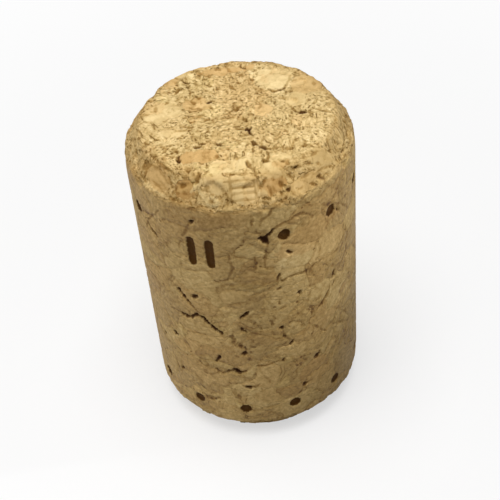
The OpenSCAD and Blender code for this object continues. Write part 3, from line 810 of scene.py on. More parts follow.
def patch_gap(section, places):
    """Distance in mm from each place to the nearest marked granule, with its lightness and redness."""
    gap, light, red = np.full(len(places), FAR), np.zeros(len(places)), np.zeros(len(places))
    tall, wide = section.height / DRAWN_HEIGHT, section.lip_r / DRAWN_LIP
    rims = [(angle + turn, *rest) for turn in (0, BACK_TURN) for angle, *rest in RIM_PATCHES]
    lower_rims = [(angle + LOWER_END_TURN, *rest) for angle, *rest in rims]
    tables = ((WALL_PATCHES, "wall", (1.0, tall)), (END_PATCHES, "upper end", (wide, wide)),
              (END_PATCHES, "lower end", (wide, wide)), (rims, "upper rim", (1.0, 1.0)),
              (lower_rims, "lower rim", (1.0, 1.0)))
    corner = np.array([(0, 0), (1, 0), (0, 1)]) * 0.1
    for table, where, size in tables:
        for u, v, half_u, half_v, tilt, lightness, redness in table:
            centre, right, above = places_on(section, np.array([(u, v)]) * size + corner, where)
            across = (right - centre) / np.linalg.norm(right - centre)
            up = (above - centre) / np.linalg.norm(above - centre)
            c, s = math.cos(math.radians(tilt)), math.sin(math.radians(tilt))
            x, y = (places - centre) @ (c * across + s * up), (places - centre) @ (c * up - s * across)
            way = (np.hypot(x / half_u, y / half_v) - 1) * min(half_u, half_v)
            closer = (way < gap) & (np.linalg.norm(places - centre, axis=1) < PATCH_REACH)
            gap[closer], light[closer], red[closer] = way[closer], lightness, redness
    return gap, light, red


def turn_from(angle, middle):
    """Angle less middle, brought between minus and plus half a turn."""
    return (angle - middle + math.pi) % (2 * math.pi) - math.pi


def burn_gap(form, marks, places):
    """Distance from each place on the wall to the nearest burnt dot or bar, in mm."""
    radius, height = form.radius / MM, form.height / MM
    angle, z = np.arctan2(places[:, 0], -places[:, 1]), places[:, 2]
    pitch = 2 * math.pi / marks.dot_places
    gap = np.full(len(places), FAR)
    rings = ((marks.lower_ring / MM, marks.dot_places),
             (height - marks.upper_ring / MM, marks.dot_places - marks.mark_places))
    for ring, count in rings:
        for k in range(count):
            x = radius * turn_from(angle, marks.ring_turn + k * pitch)
            gap = np.minimum(gap, np.hypot(x, z - ring) - marks.dot / MM / 2)
    mark_angle = marks.ring_turn - pitch * (marks.mark_places + 1) / 2
    reach = (marks.bar - marks.bar_width) / MM / 2
    for side in (-0.5, 0.5):
        x = radius * turn_from(angle, mark_angle) - side * (marks.bar_width + marks.bar_gap) / MM
        y = np.maximum(np.abs(z - height + marks.mark_down / MM) - reach, 0)
        gap = np.minimum(gap, np.hypot(x, y) - marks.bar_width / MM / 2)
    return gap


# Torn granules and nicks ------------------------------------------------------------------------

def moved(start, *steps):
    """The 4 by 4 matrix moved and turned by each step: (degrees, axis) or a shift (x, y, z) in mm."""
    for step in steps:
        is_turn = len(step) == 2
        start = start @ (Matrix.Rotation(math.radians(step[0]), 4, step[1]) if is_turn
                         else Matrix.Translation(step))
    return start


def shard(i, corners, size):
    """Uneven outline of the torn granule i, at most size wide."""
    turns = [2 * math.pi * (k + 0.5 * scatter(i + k, 0.755)) / corners for k in range(corners)]
    reach = [size / 2 * scatter_from(0.65, i * corners + k, 0.618) for k in range(corners)]
    return np.array([(r * math.cos(t), r * math.sin(t)) for r, t in zip(reach, turns)])


def outline_gap(flat, outline):
    """Signed distance from flat places to an outline, negative inside it."""
    least, inside = np.full(len(flat), FAR), np.zeros(len(flat), bool)
    for a, b in zip(outline, np.roll(outline, -1, axis=0)):
        way = np.clip((flat - a) @ (b - a) / ((b - a) @ (b - a)), 0, 1)
        least = np.minimum(least, np.linalg.norm(flat - a - way[:, None] * (b - a), axis=1))
        crossed = (a[1] > flat[:, 1]) != (b[1] > flat[:, 1])
        crossing = a[0] + (flat[:, 1] - a[1]) * (b[0] - a[0]) / (b[1] - a[1] + 1e-12)
        inside ^= crossed & (flat[:, 0] < crossing)
    return np.where(inside, -least, least)


def torn_places(section, form, tears):
    """Where the torn granules and nicks of both ends sit: (kind, number, matrix in mm)."""
    slope = math.degrees(math.atan(form.chamfer_in / form.chamfer_along))
    middle, half = section.radius - form.chamfer_in / MM / 2, form.chamfer_along / MM / 2
    top = Matrix.Translation((0, 0, section.height))
    under = Matrix.Scale(-1, 4, (0, 0, 1)) @ Matrix.Rotation(math.radians(LOWER_END_TURN), 4, "Z")
    nick_rows = ((section.radius, -2 * half, slope / 2, 0),
                 (section.lip_r, 0, (90 + slope) / 2, 180 / max(1, tears.nicks)))
    for end in (top, under):
        for i in range(tears.end_scars):
            way, spin = section.lip_r * math.sqrt((i + 0.5) / tears.end_scars), 360 * scatter(i, 0.755)
            yield "scar", i, moved(end, (i * GOLDEN_TURN - 90, "Z"), (way, 0, 0), (spin, "Z"))
        for k in range(tears.chamfer_scars):
            i, angle = k + tears.end_scars, (k + 0.4 * scatter(k, 0.57)) * 360 / tears.chamfer_scars - 90
            spin = 360 * scatter(i, 0.755)
            yield "scar", i, moved(end, (angle, "Z"), (middle, 0, -half), (90 - slope, "Y"), (spin, "Z"))
        for radius, z, lift, turn in nick_rows:
            for i in range(tears.nicks):
                angle = turn + (i + 0.6 * scatter(i, 0.755)) * 360 / tears.nicks - 90
                yield "nick", i, moved(end, (angle, "Z"), (radius, 0, z), (-lift, "Y"))


def torn_away(section, form, tears, places):
    """Depth in mm torn away from each place, and the signed way to the nearest torn granule's edge."""
    noise.seed_set(RAGGED_SEED)
    push = np.array([noise.noise_vector(Vector(place) / RAGGED_PITCH) for place in places])
    ragged = places + RAGGED_REACH * push
    drop, gap = np.zeros(len(places)), np.full(len(places), FAR)
    widest = {"scar": (tears.scar, tears.scar_depth), "nick": (tears.nick, tears.nick_depth)}
    for kind, i, matrix in torn_places(section, form, tears):
        matrix = np.array(matrix)
        centre, axes = matrix[:3, 3], matrix[:3, :3]
        size, depth = (value / MM for value in widest[kind])
        size, depth = size * scatter_from(0.6, i, 0.618), depth * scatter_from(0.4, i, 0.57)
        near = np.flatnonzero(np.linalg.norm(places - centre, axis=1) < TEAR_REACH)
        x, y, out = ((ragged[near] - centre) @ axes).T
        if kind == "nick":
            deep = size - np.linalg.norm(np.stack([x - size + depth, y, out]), axis=0)
        else:
            way = outline_gap(np.stack([x, y], 1), shard(i, tears.scar_corners, size))
            level = (places[near] - centre) @ axes[:, 2]
            deep = np.where(way < 0, depth / 2 + x * depth / size + level, 0)
            closer = (np.abs(way) < np.abs(gap[near])) & (np.abs(level) < TEAR_LEVEL)
            gap[near[closer]] = way[closer]
        drop[near] = np.maximum(drop[near], deep)
    return drop, gap


# Body -------------------------------------------------------------------------------------------

ARC_STEPS = 6
# In mm: clear space round the parts of the bake layout, and places nearer than this become one
BAKE_MARGIN, WELD_REACH = 0.6, 0.01


def rounded(a, c, b, r):
    """Points of the arc of radius r that rounds corner c between points a and b."""
    a, c, b = Vector(a), Vector(c), Vector(b)
    u, v = (a - c).normalized(), (b - c).normalized()
    half = u.angle(v) / 2
    centre = c + (u + v).normalized() * r / math.sin(half)
    start, end = c + u * r / math.tan(half) - centre, c + v * r / math.tan(half) - centre
    return [centre + start.slerp(end, k / ARC_STEPS).normalized() * r for k in range(ARC_STEPS + 1)]


class Section:
    """The section between the two lips, in mm, measured by the way along it."""

    def __init__(self, form):
        radius, height = form.radius / MM, form.height / MM
        lip_r, along, edge = radius - form.chamfer_in / MM, form.chamfer_along / MM, form.edge / MM
        lip, shoulder = (lip_r, 0.0), (radius, along)
        lower = rounded((0, 0), lip, shoulder, edge) + rounded(lip, shoulder, (radius, height / 2), edge)
        upper = [Vector((p.x, height - p.y)) for p in reversed(lower)]
        self.points = np.array(lower + upper)
        steps = np.linalg.norm(np.diff(self.points, axis=0), axis=1)
        self.way = np.concatenate([[0.0], np.cumsum(steps)])
        self.lip_r, self.radius, self.height = lip_r, radius, height
        arc_middle = ARC_STEPS // 2
        self.lip_way, self.shoulder = self.way[arc_middle], self.way[len(lower) - 1 - arc_middle]

    def at(self, way):
        """Radius and height at each way along the section. A way below 0 lies on the end face."""
        radius = np.interp(way, self.way, self.points[:, 0]) + np.minimum(way, 0)
        return radius, np.interp(way, self.way, self.points[:, 1])


def disc_grid(n, radius):
    """A round patch of n by n even squares: flat places and faces."""
    t = np.linspace(-1, 1, n + 1)
    a, b = np.meshgrid(t, t, indexing="ij")
    steep = np.abs(a) >= np.abs(b)
    reach = np.where(steep, a, b)
    with np.errstate(divide="ignore", invalid="ignore"):
        turn = np.where(steep, math.pi / 4 * b / a, math.pi / 2 - math.pi / 4 * a / b)
    turn = np.nan_to_num(turn)
    x, y = radius * reach * np.cos(turn), radius * reach * np.sin(turn)
    index = np.arange((n + 1) ** 2).reshape(n + 1, n + 1)
    faces = np.stack([index[:-1, :-1], index[1:, :-1], index[1:, 1:], index[:-1, 1:]], -1).reshape(-1, 4)
    return np.stack([x.ravel(), y.ravel()], 1), faces


class Grid:
    """Even places and faces of the body: rings round its side, then a disc for each end, in mm."""

    def __init__(self, section, columns, rows):
        ways = np.linspace(0, section.way[-1], rows + 1)
        radius, height = section.at(ways)
        around, up = np.meshgrid(2 * math.pi * np.arange(columns) / columns, np.arange(rows + 1))
        side = np.stack([radius[up] * np.sin(around), -radius[up] * np.cos(around), height[up]], -1)
        index = np.arange((rows + 1) * columns).reshape(rows + 1, columns)
        right = np.roll(index, -1, axis=1)
        side_faces = np.stack([index[:-1], right[:-1], right[1:], index[1:]], -1).reshape(-1, 4)
        disc, disc_faces = disc_grid(columns // 4, radius[0])
        lower = np.column_stack([disc, np.zeros(len(disc))])
        upper = np.column_stack([disc, np.full(len(disc), section.height)])
        self.columns, self.ways, self.disc, self.side_count = columns, ways, disc, index.size
        self.places = np.concatenate([side.reshape(-1, 3), lower, upper])
        self.faces = np.concatenate([
            side_faces, disc_faces[:, ::-1] + index.size, disc_faces + index.size + len(disc)])
        # How far each place lies past the nearest shoulder, towards the middle of its end
        side_past = section.shoulder - np.minimum(ways, ways[-1] - ways)[up].ravel()
        disc_past = section.shoulder + radius[0] - np.hypot(*disc.T)
        self.past_shoulder = np.concatenate([side_past, disc_past, disc_past])


def cork_mesh(form, marks, tears):
    """The turned body as an even mesh, with its places and gaps stored on its points."""
    section = Section(form)
    grid = Grid(section, form.columns, form.rows)
    places = grid.places
    mesh = bpy.data.meshes.new("cork_stopper")
    mesh.from_pydata(places * MM, [], grid.faces)
    fields = {"past_shoulder": grid.past_shoulder}
    on_side = np.arange(len(places)) < grid.side_count
    fields["burn_gap"] = np.where(on_side, burn_gap(form, marks, places), FAR)
    fields["crack_gap"], fields["crack_dark"] = stroke_gap(places, strokes(section))
    fields["torn"], fields["torn_gap"] = torn_away(section, form, tears, places)
    fields["patch_gap"], fields["patch_light"], fields["patch_red"] = patch_gap(section, places)
    for name, values in fields.items():
        attribute = mesh.attributes.new(name, "FLOAT", "POINT")
        attribute.data.foreach_set("value", values.astype(np.float32))
    rest = mesh.attributes.new("rest", "FLOAT_VECTOR", "POINT")
    rest.data.foreach_set("vector", places.astype(np.float32).ravel())
    unwrap_for_bake(mesh, section, grid)
    return mesh


def unwrap_for_bake(mesh, section, grid):
    """Lays the wall out as one strip and the ends as two discs above it."""
    turn = 2 * math.pi * section.radius
    whole, strip_top = turn + 2 * BAKE_MARGIN, grid.ways[-1] + 2 * BAKE_MARGIN
    disc_r = (whole - strip_top - BAKE_MARGIN) / 2
    size = disc_r / np.abs(grid.disc).max()
    uv = np.zeros((len(mesh.loops), 2))
    verts = np.empty(len(mesh.loops), np.int32)
    mesh.loops.foreach_get("vertex_index", verts)
    corner = np.arange(len(verts)) % 4
    on_side = verts < grid.side_count
    column, row = verts % grid.columns, verts // grid.columns
    wrapped = (column == 0) & ((corner == 1) | (corner == 2))
    column = np.where(wrapped, grid.columns, column)
    uv[on_side, 0] = BAKE_MARGIN + turn * column[on_side] / grid.columns
    uv[on_side, 1] = BAKE_MARGIN + grid.ways[row[on_side]]
    for k in range(2):
        first = grid.side_count + k * len(grid.disc)
        here = (verts >= first) & (verts < first + len(grid.disc))
        centre = np.array([BAKE_MARGIN + disc_r + k * (2 * disc_r + BAKE_MARGIN), strip_top + disc_r])
        uv[here] = centre + grid.disc[verts[here] - first] * size
    layer = mesh.uv_layers.new(name="OFBake")
    layer.data.foreach_set("uv", (uv / whole).astype(np.float32).ravel())


# Relief and looks -------------------------------------------------------------------------------

# Noises: width of the lumps in mm, detail, roughness, shift
NOISES = {
    "mottle": (0.45, 4.0, 0.65, 0.0),   # mottling inside a granule
    "cloud": (3.2, 3.0, 0.5, 11.0),     # slow drift of the tone
    "show": (2.6, 2.0, 0.5, 19.0),      # where joints and crumbs show more
    "dash": (0.55, 2.0, 0.5, 23.0),     # breaks lines up into dashes
    "veins": (2.2, 3.0, 0.6, 29.0),     # hairlines run along its middle value
    "frayed": (0.4, 2.0, 0.5, 31.0),    # frays the edges of cracks and burns
    "grit": (0.3, 3.0, 0.7, 37.0),      # grit on the ends
    "crowd": (3.5, 2.0, 0.5, 41.0),     # where loose bits crowd together
}
# Streaks inside a granule: length and width in mm, shift
STREAKS = {
    "growth": (2.0, 0.32, 0.0),         # growth lines of the ground wall
    "flecks": (1.3, 0.26, 5.0),         # dark flecks on the ends
    "chips": (2.2, 0.9, 53.0),          # pale and dark chips on the ends
}
CHIPPED = (1.8, 0.7, 7.0)               # hollows of lost chips, in the relief of the ends
# Loose bits between the granules: how bent they are, and their size in mm
BIT_BEND, BIT_SIZE = (0.3, 0.3), 0.5
# Lumps along the lips and shoulders: width in mm, detail and shift of the noise, and its middle value
WOBBLE_PITCH, WOBBLE_DETAIL, WOBBLE_SHIFT, WOBBLE_MIDDLE = 4.0, 1.0, 3.0, 0.3
# They are strongest 1.5 mm past the shoulder, in the middle of the chamfer, and end 3.5 mm from there
WOBBLE_WAY, WOBBLE_FADE = 1.5, (3.5, 1.0)
# Powers of the lightness for green and blue: cork turns browner as it darkens
BROWNING = (1.24, 1.75)
REDDISH = (1.0, 0.845, 0.73)
PALE = (1.07, 1.11, 1.08)
# The wall is ground fairly smooth, the ends are dull, and what is burnt or open hardly shines
WALL_SHINE, END_SHINE, DARK_SHINE = 0.4, 0.1, 0.08
WALL_ROUGH, END_ROUGH = (0.62, 0.74), 0.9


def relief_tree(grain, marks):
    """Geometry nodes that roughen the ends, sink the joints and open the slits, pits and burns."""
    tree = bpy.data.node_groups.new("Cork relief", "GeometryNodeTree")
    tree.interface.new_socket("Geometry", in_out="INPUT", socket_type="NodeSocketGeometry")
    sizes = {
        "Granule size": grain.granule, "Crumb size": grain.crumb, "Joint depth": grain.joint,
        "Granule step": grain.step, "Crumble depth": grain.crumble, "Edge wobble": grain.wobble,
        "Burn depth": marks.burn_depth, "Crack depth": marks.crack_depth,
    }
    for name in sizes:
        tree.interface.new_socket(name, in_out="INPUT", socket_type="NodeSocketFloat").subtype = "DISTANCE"
    tree.interface.new_socket("Material", in_out="INPUT", socket_type="NodeSocketMaterial")
    tree.interface.new_socket("Geometry", in_out="OUTPUT", socket_type="NodeSocketGeometry")
    net = Net(tree)
    given = net.node("NodeGroupInput").outputs

    def mm(name):
        """One of the sizes, in mm."""
        return net.math("DIVIDE", given[name], MM)

    at = cork_pattern(net, mm("Granule size"), mm("Crumb size"))
    wall_drop = net.times(net.rise(at.joint_gap, 0.35, 0.0), mm("Joint depth"))
    chipped = streaks(net, at.place, at.granule, *CHIPPED)
    crumb_drop = net.times(net.plus(at.crumb_tone, net.rise(at.crumb_gap, 0.25, 0.0)), 0.5)
    crumb_drop = net.plus(net.times(crumb_drop, net.between(at.chamfer, 0.25, 0.6)),
                          net.times(net.rise(chipped, 0.5, 0.8), 0.6))
    crumb_drop = net.times(crumb_drop, at.calm, mm("Crumble depth"))
    end_drop = net.plus(net.times(at.warmth, mm("Granule step")), crumb_drop)
    lumps = net.minus(
        net.noise(at.place, WOBBLE_PITCH, WOBBLE_DETAIL, shift=WOBBLE_SHIFT), WOBBLE_MIDDLE)
    near_edge = net.rise(net.absolute(net.minus(at.past_shoulder, WOBBLE_WAY)), *WOBBLE_FADE)
    wobble = net.times(lumps, near_edge, mm("Edge wobble"))
    drop = net.plus(net.between(at.end, wall_drop, end_drop), wobble, net.field("torn"))

    # A faint crack is shallow, all the more on the ground wall, and a ridge stands up
    strength = net.absolute(at.crack_dark)
    shallow = net.between(at.end, net.rise(strength, 0.6, 0.85, 0.5, 1.0), 1.0)
    crack_share = net.times(at.crack_dark, strength, shallow)
    sunken = (("burn_gap", 1.0, "Burn depth"), ("crack_gap", crack_share, "Crack depth"))
    for gap, depth_share, depth in sunken:
        drop = net.plus(drop, net.times(net.rise(net.field(gap), 0.08, -0.16), depth_share, mm(depth)))
    offset = net.scaled(net.node("GeometryNodeInputNormal").outputs[0], net.times(drop, -MM))
    sunk = net.node("GeometryNodeSetPosition", {"Geometry": given["Geometry"], "Offset": offset})
    real = net.node("GeometryNodeRealizeInstances", {0: sunk.outputs[0]})
    dressed = net.node(
        "GeometryNodeSetMaterial", {"Geometry": real.outputs[0], "Material": given["Material"]})
    net.node("NodeGroupOutput", {0: dressed.outputs[0]})
    return tree, sizes


def wall_lightness(net, at):
    """Ground wall: quiet granules with fine growth streaks."""
    return net.sway((at.tone, 0.36), (at.growth, 0.7), (at.mottle, 1.2), (at.cloud, 0.4))


def end_lightness(net, at, fleck, busy):
    """Crumbly ends: pale crumbs and chips with soft brown gaps, fine grit and dark flecks."""
    value = net.sway((at.tone, 0.14), (at.crumb_tone, 0.16), (at.cloud, 0.16), (at.chips, -0.34))
    small = net.sway((at.grit, 0.7), (at.flecks, -1.0))
    value = net.times(value, net.slope(net.minus(small, 1.0), at.calm))
    crumb_edge = net.times(net.rise(at.crumb_gap, 0.26, 0.0), net.rise(at.dash, 0.44, 0.62), busy, 0.75)
    torn_edge = net.rise(net.absolute(net.field("torn_gap")), 0.16, 0.0)
    torn_edge = net.times(torn_edge, net.rise(at.dash, 0.4, 0.6))
    gone = net.most(net.times(fleck, 0.52), net.times(crumb_edge, 0.6), net.times(torn_edge, 0.25))
    return net.less(value, gone)


def joint_darkness_and_painted_shade(net, at):
    """Joints: mostly faint, dark and dotted in places, with hairlines and loose bits between them, and
    painted shade that darkens the cork beside each joint.
    """
    line = net.rise(net.minus(at.joint_gap, net.rise(at.dash, 0.35, 0.7, 0.0, 0.08)), 0.12, -0.02)
    line = net.most(line, net.times(net.rise(net.absolute(at.patch_edge), 0.12, 0.02), 0.8))
    faint = net.times(line, net.rise(at.show, 0.34, 0.58, 0.06, 0.42))
    faint = net.times(faint, net.rise(at.dash, 0.42, 0.58, 0.3, 1.0))
    dotted = net.times(net.rise(at.show, 0.56, 0.66), net.rise(at.dash, 0.46, 0.56))
    bold = net.times(line, dotted, 0.65)
    # Painted shade: the cork darkens by up to about a sixth within half a millimetre of a joint, standing
    # in for shade in the joint
    shade = net.times(net.rise(at.joint_gap, 0.5, 0.0), net.rise(at.show, 0.3, 0.6, 0.02, 0.16))
    vein = net.absolute(net.minus(at.veins, 0.5))
    hairline = net.times(net.rise(vein, 0.018, 0.0), net.rise(at.cloud, 0.48, 0.6, 0.0, 0.18))
    bits = net.voronoi(bent(net, at.place, *BIT_BEND), BIT_SIZE)
    bit = net.times(net.rise(bits["Distance"], 0.42, 0.25), net.above(net.parts(bits["Color"])[0], 0.7))
    bit = net.times(bit, net.rise(at.crowd, 0.54, 0.64), net.rise(at.joint_gap, 0.7, 0.3, 0.0, 0.6))
    return net.times(net.most(faint, bold, hairline, shade, bit), net.between(at.end, 1.0, 0.5))


def middle_tone(net, at, colours):
    """Colour before light and dark: wall, end or chamfer, with reddish and pale granules."""
    base = net.blend(at.end, colours.wall, net.blend(at.chamfer, colours.end, colours.chamfer))
    rusty = net.times(net.rise(at.cloud, 0.52, 0.68), net.rise(at.crumb_warmth, 0.4, 0.9),
                      net.between(at.end, 0.12, 0.35))
    red = net.times(at.patch, net.field("patch_red"), 0.8)
    warm = net.most(net.rise(at.warmth, 0.5, 0.9, 0.0, 0.25), rusty, red)
    pale = net.rise(at.paleness, 0.7, 0.95, 0.0, 0.6)
    for share, cast in ((warm, REDDISH), (pale, PALE)):
        base = net.blend(share, base, net.vector("MULTIPLY", base, cast))
    return base


def toned(net, colour, value):
    """colour at value times its lightness."""
    green, blue = (net.math("POWER", value, power) for power in BROWNING)
    lightness = net.node("ShaderNodeCombineXYZ", {0: value, 1: green, 2: blue}).outputs[0]
    return net.vector("MULTIPLY", colour, lightness)


def fine_relief(net, at, fleck, dark):
    """Height in mm of what is finer than the mesh: grit, flecks, crumb edges and joints."""
    high = net.between(at.end, net.times(at.mottle, 0.03), net.times(at.grit, at.calm, 0.12))
    crumb_edge = net.times(net.rise(at.crumb_gap, 0.2, 0.0), net.times(at.chamfer, at.calm), 0.03)
    low = net.plus(net.times(fleck, net.times(at.end, 0.08)), crumb_edge)
    return net.minus(high, net.slope(dark, 0.05, low))


def cork_material(grain, colours):
    """Agglomerated cork: toned granules, brown joints, burnt marks, and a crumbly look on the ends."""
    material = bpy.data.materials.new("agglomerated_cork")
    net = emptied(material)
    at = cork_pattern(net, grain.granule / MM, grain.crumb / MM)
    for name, numbers in NOISES.items():
        setattr(at, name, net.noise(at.place, *numbers))
    for name, numbers in STREAKS.items():
        setattr(at, name, streaks(net, at.place, at.granule, *numbers))

    # How much of the crumbs and flecks shows, and the flecks that do
    busy = net.times(net.between(at.chamfer, net.rise(at.show, 0.3, 0.65, 0.6, 1.0), 0.7), at.calm)
    fleck = net.times(net.rise(at.flecks, 0.585, 0.66), busy)
    # dark holds the joints' own dark colour together with the painted shade beside them
    dark = joint_darkness_and_painted_shade(net, at)
    value = net.between(at.end, wall_lightness(net, at), end_lightness(net, at, fleck, busy))
    value = net.less(net.times(value, net.slope(at.patch, net.field("patch_light"))), dark)

    # Slits and ridges with a ragged edge
    ragged = net.minus(at.frayed, 0.5)
    crack = net.rise(net.slope(net.times(ragged, at.calm), 0.3, net.field("crack_gap")), 0.12, -0.08)
    browned = net.times(crack, net.rise(at.crack_dark, 0.0, 0.8))
    opened = net.times(crack, net.rise(at.crack_dark, 0.6, 1.0))
    ridge = net.times(crack, net.rise(at.crack_dark, 0.0, -0.8))
    colour = toned(net, middle_tone(net, at, colours), net.times(value, net.slope(browned, -0.6)))
    colour = net.blend(ridge, colour, colours.ridge)
    colour = net.blend(opened, colour, colours.crack)

    # Burns, paler in the middle
    burn = net.slope(ragged, 0.25, net.field("burn_gap"))
    charred = net.rise(burn, 0.1, -0.05)
    burnt = net.blend(net.rise(burn, -0.25, -0.6, 0.0, 0.3), colours.burnt, colours.ember)
    colour = net.blend(charred, colour, burnt)

    shine = net.between(net.most(charred, opened), net.between(at.end, WALL_SHINE, END_SHINE), DARK_SHINE)
    rough = net.between(at.end, net.rise(at.tone, 0.0, 1.0, *WALL_ROUGH), END_ROUGH)
    height = fine_relief(net, at, fleck, dark)
    bump = net.node("ShaderNodeBump", {"Height": height, "Distance": MM, "Strength": 1.0})
    shader = net.node("ShaderNodeBsdfPrincipled", {
        "Base Color": colour, "Roughness": rough, "Normal": bump.outputs[0], "Specular IOR Level": shine})
    net.node("ShaderNodeOutputMaterial", {"Surface": shader.outputs[0]})
    return material


def plain_mesh(piece):
    """Swaps a piece for the plain mesh that its modifiers make."""
    made = piece.evaluated_get(bpy.context.evaluated_depsgraph_get())
    old, name = piece.data, piece.data.name
    mesh = bpy.data.meshes.new_from_object(made)
    piece.modifiers.clear()
    piece.data = mesh
    bpy.data.meshes.remove(old)
    mesh.name = name


class CORK_OT_body(bpy.types.Operator):
    """Make the ground body with its granules, crumbly ends, burnt marks and slits"""
    bl_idname = "cork.body"
    bl_label = "Body"

    def execute(self, context):
        scene = context.scene
        form, marks, grain = scene.cork_form, scene.cork_marks, scene.cork_grain
        piece = bpy.data.objects.new("cork_stopper", cork_mesh(form, marks, scene.cork_tears))
        context.collection.objects.link(piece)
        weld = piece.modifiers.new("Weld", "WELD")
        weld.merge_threshold = WELD_REACH * MM
        relief = piece.modifiers.new("Relief", "NODES")
        tree, sizes = relief_tree(grain, marks)
        relief.node_group = tree
        sockets = {
            item.name: item.identifier for item in tree.interface.items_tree if item.in_out == "INPUT"}
        for name, value in sizes.items():
            relief[sockets[name]] = value
        relief[sockets["Material"]] = cork_material(grain, scene.cork_colours)
        plain_mesh(piece)
        piece.data.shade_smooth()
        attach(piece, "root")
        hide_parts("stopper")
        return {"FINISHED"}


# Stage ------------------------------------------------------------------------------------------

# Places, aims and sizes of the lamps, in metres
KEY_PLACE, KEY_SIZE = (-0.02, -0.06, 0.5), 0.35
LEFT_PLACE, LEFT_SIZE = (-0.45, -0.05, 0.2), 0.3
SPOT_PLACE, SPOT_AIM = (0.275, 0.0, 0.11), (0.006, -0.027, 0.0325)
SPOT_SIZE, SPOT_CONE, SPOT_BLEND = 0.008, math.radians(11), 0.4
FLOOR_HALF = 1.2
# The floor gives back little light round a dark place beside the cork
DARK_PLACE, DARK_FLOOR = (0.034, -0.012, 0.0), (0.02, 0.015, 0.01)
DARK_NEAR, DARK_FAR = 0.015, 0.045
# The floor in view glows more the further it lies from the cork, so that the shadow shows only near it
GLOW_NEAR, GLOW_FAR, LEAST_GLOW = 0.03, 0.14, 0.6
SEEN_FLOOR = (0.95, 0.95, 0.95)
WHITE = (1.0, 1.0, 1.0)
NEAREST_SEEN = 0.005


def aimed_lamp(name, kind, place, target, power, **settings):
    """A lamp at place, aimed at target."""
    light = bpy.data.lights.new(name, kind)
    light.energy = power
    for key, value in settings.items():
        setattr(light, key, value)
    made = bpy.data.objects.new(name, light)
    made.location = place
    made.rotation_euler = (Vector(target) - Vector(place)).to_track_quat("-Z", "Y").to_euler()
    bpy.context.collection.objects.link(made)


def seen(net):
    """1 where the camera, a reflection or a clear surface looks straight at something."""
    ray = net.node("ShaderNodeLightPath").outputs
    return net.most(ray["Is Glossy Ray"], ray["Is Transmission Ray"], ray["Is Camera Ray"])


def floor_material(colour):
    """A floor that lights the cork by its own colour and is seen as near white with a soft shadow."""
    material = bpy.data.materials.new("plain_floor")
    net = emptied(material)
    place = net.node("ShaderNodeTexCoord").outputs["Object"]
    near = net.rise(net.length_of(net.vector("SUBTRACT", place, DARK_PLACE)), DARK_FAR, DARK_NEAR)
    plain = net.node("ShaderNodeBsdfDiffuse", {"Color": net.blend(near, colour, DARK_FLOOR)})
    pale = net.node("ShaderNodeBsdfDiffuse", {"Color": SEEN_FLOOR})
    glow = net.node("ShaderNodeEmission", {"Color": WHITE, "Strength": 1.0})
    glowing = net.rise(net.length_of(place), GLOW_NEAR, GLOW_FAR, LEAST_GLOW, 1.0)
    shown = net.node("ShaderNodeMixShader", {0: glowing, 1: pale.outputs[0], 2: glow.outputs[0]})
    both = net.node("ShaderNodeMixShader", {0: seen(net), 1: plain.outputs[0], 2: shown.outputs[0]})
    net.node("ShaderNodeOutputMaterial", {"Surface": both.outputs[0]})
    return material


def lay_floor(context, colour):
    """A square floor at the cork's foot."""
    corners = [(x * FLOOR_HALF, y * FLOOR_HALF, 0) for x, y in ((-1, -1), (1, -1), (1, 1), (-1, 1))]
    mesh = bpy.data.meshes.new("floor")
    mesh.from_pydata(corners, [], [(0, 1, 2, 3)])
    mesh.materials.append(floor_material(colour))
    floor = bpy.data.objects.new("floor", mesh)
    context.collection.objects.link(floor)


def light_world(scene, strength):
    """Even light all round, seen as white."""
    world = bpy.data.worlds.new("even_light")
    scene.world = world
    net = emptied(world)
    shown = net.between(seen(net), strength, 1.0)
    light = net.node("ShaderNodeBackground", {"Color": WHITE, "Strength": shown})
    net.node("ShaderNodeOutputWorld", {"Surface": light.outputs[0]})


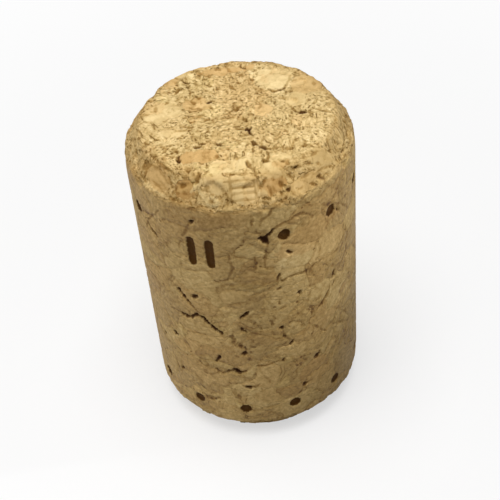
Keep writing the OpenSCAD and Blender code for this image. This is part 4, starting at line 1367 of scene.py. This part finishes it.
def set_camera(context, stage, middle):
    """A camera that looks down at the cork from the front."""
    camera = bpy.data.cameras.new("camera")
    camera.lens, camera.clip_start = stage.lens, NEAREST_SEEN
    eye = bpy.data.objects.new("camera", camera)
    eye.location = (0, -stage.view_distance, stage.view_height)
    eye.rotation_mode = "QUATERNION"
    aim = (middle - eye.location).to_track_quat("-Z", "Y")
    eye.rotation_quaternion = aim @ Quaternion((0, 0, 1), -stage.view_roll)
    context.collection.objects.link(eye)
    context.scene.camera = eye


class CORK_OT_stage(bpy.types.Operator):
    """Lay the floor, hang the lamps and set up the camera"""
    bl_idname = "cork.stage"
    bl_label = "Stage"

    def execute(self, context):
        scene = context.scene
        stage, middle = scene.cork_stage, Vector((0, 0, scene.cork_form.height / 2))
        lay_floor(context, stage.floor)
        aimed_lamp("key_lamp", "AREA", KEY_PLACE, middle, stage.key, size=KEY_SIZE)
        aimed_lamp("left_lamp", "AREA", LEFT_PLACE, middle, stage.side, size=LEFT_SIZE)
        aimed_lamp("right_lamp", "SPOT", SPOT_PLACE, SPOT_AIM, stage.spot,
                   shadow_soft_size=SPOT_SIZE, spot_size=SPOT_CONE, spot_blend=SPOT_BLEND)
        light_world(scene, stage.sky)
        set_camera(context, stage, middle)
        scene.view_settings.view_transform = "Standard"
        return {"FINISHED"}


class CORK_PT_panel(bpy.types.Panel):
    """Lists what makes the cork and its stage"""
    bl_label = "Cork Stopper"
    bl_idname = "CORK_PT_panel"
    bl_space_type = "VIEW_3D"
    bl_region_type = "UI"
    bl_category = "Cork"

    def draw(self, context):
        for name, settings in SETTINGS.items():
            box = self.layout.box()
            group = getattr(context.scene, name)
            for key in settings.__annotations__:
                box.prop(group, key)
        self.layout.operator(CORK_OT_body.bl_idname)
        self.layout.operator(CORK_OT_stage.bl_idname)


CLASSES = (*SETTINGS.values(), CORK_OT_body, CORK_OT_stage, CORK_PT_panel)


def register():
    for each in CLASSES:
        bpy.utils.register_class(each)
    for name, settings in SETTINGS.items():
        setattr(bpy.types.Scene, name, bpy.props.PointerProperty(type=settings))


def unregister():
    for name in SETTINGS:
        delattr(bpy.types.Scene, name)
    for each in reversed(CLASSES):
        bpy.utils.unregister_class(each)


def main():
    register()
    bpy.ops.cork.body()
    bpy.ops.cork.stage()


if __name__ == "__main__":
    main()
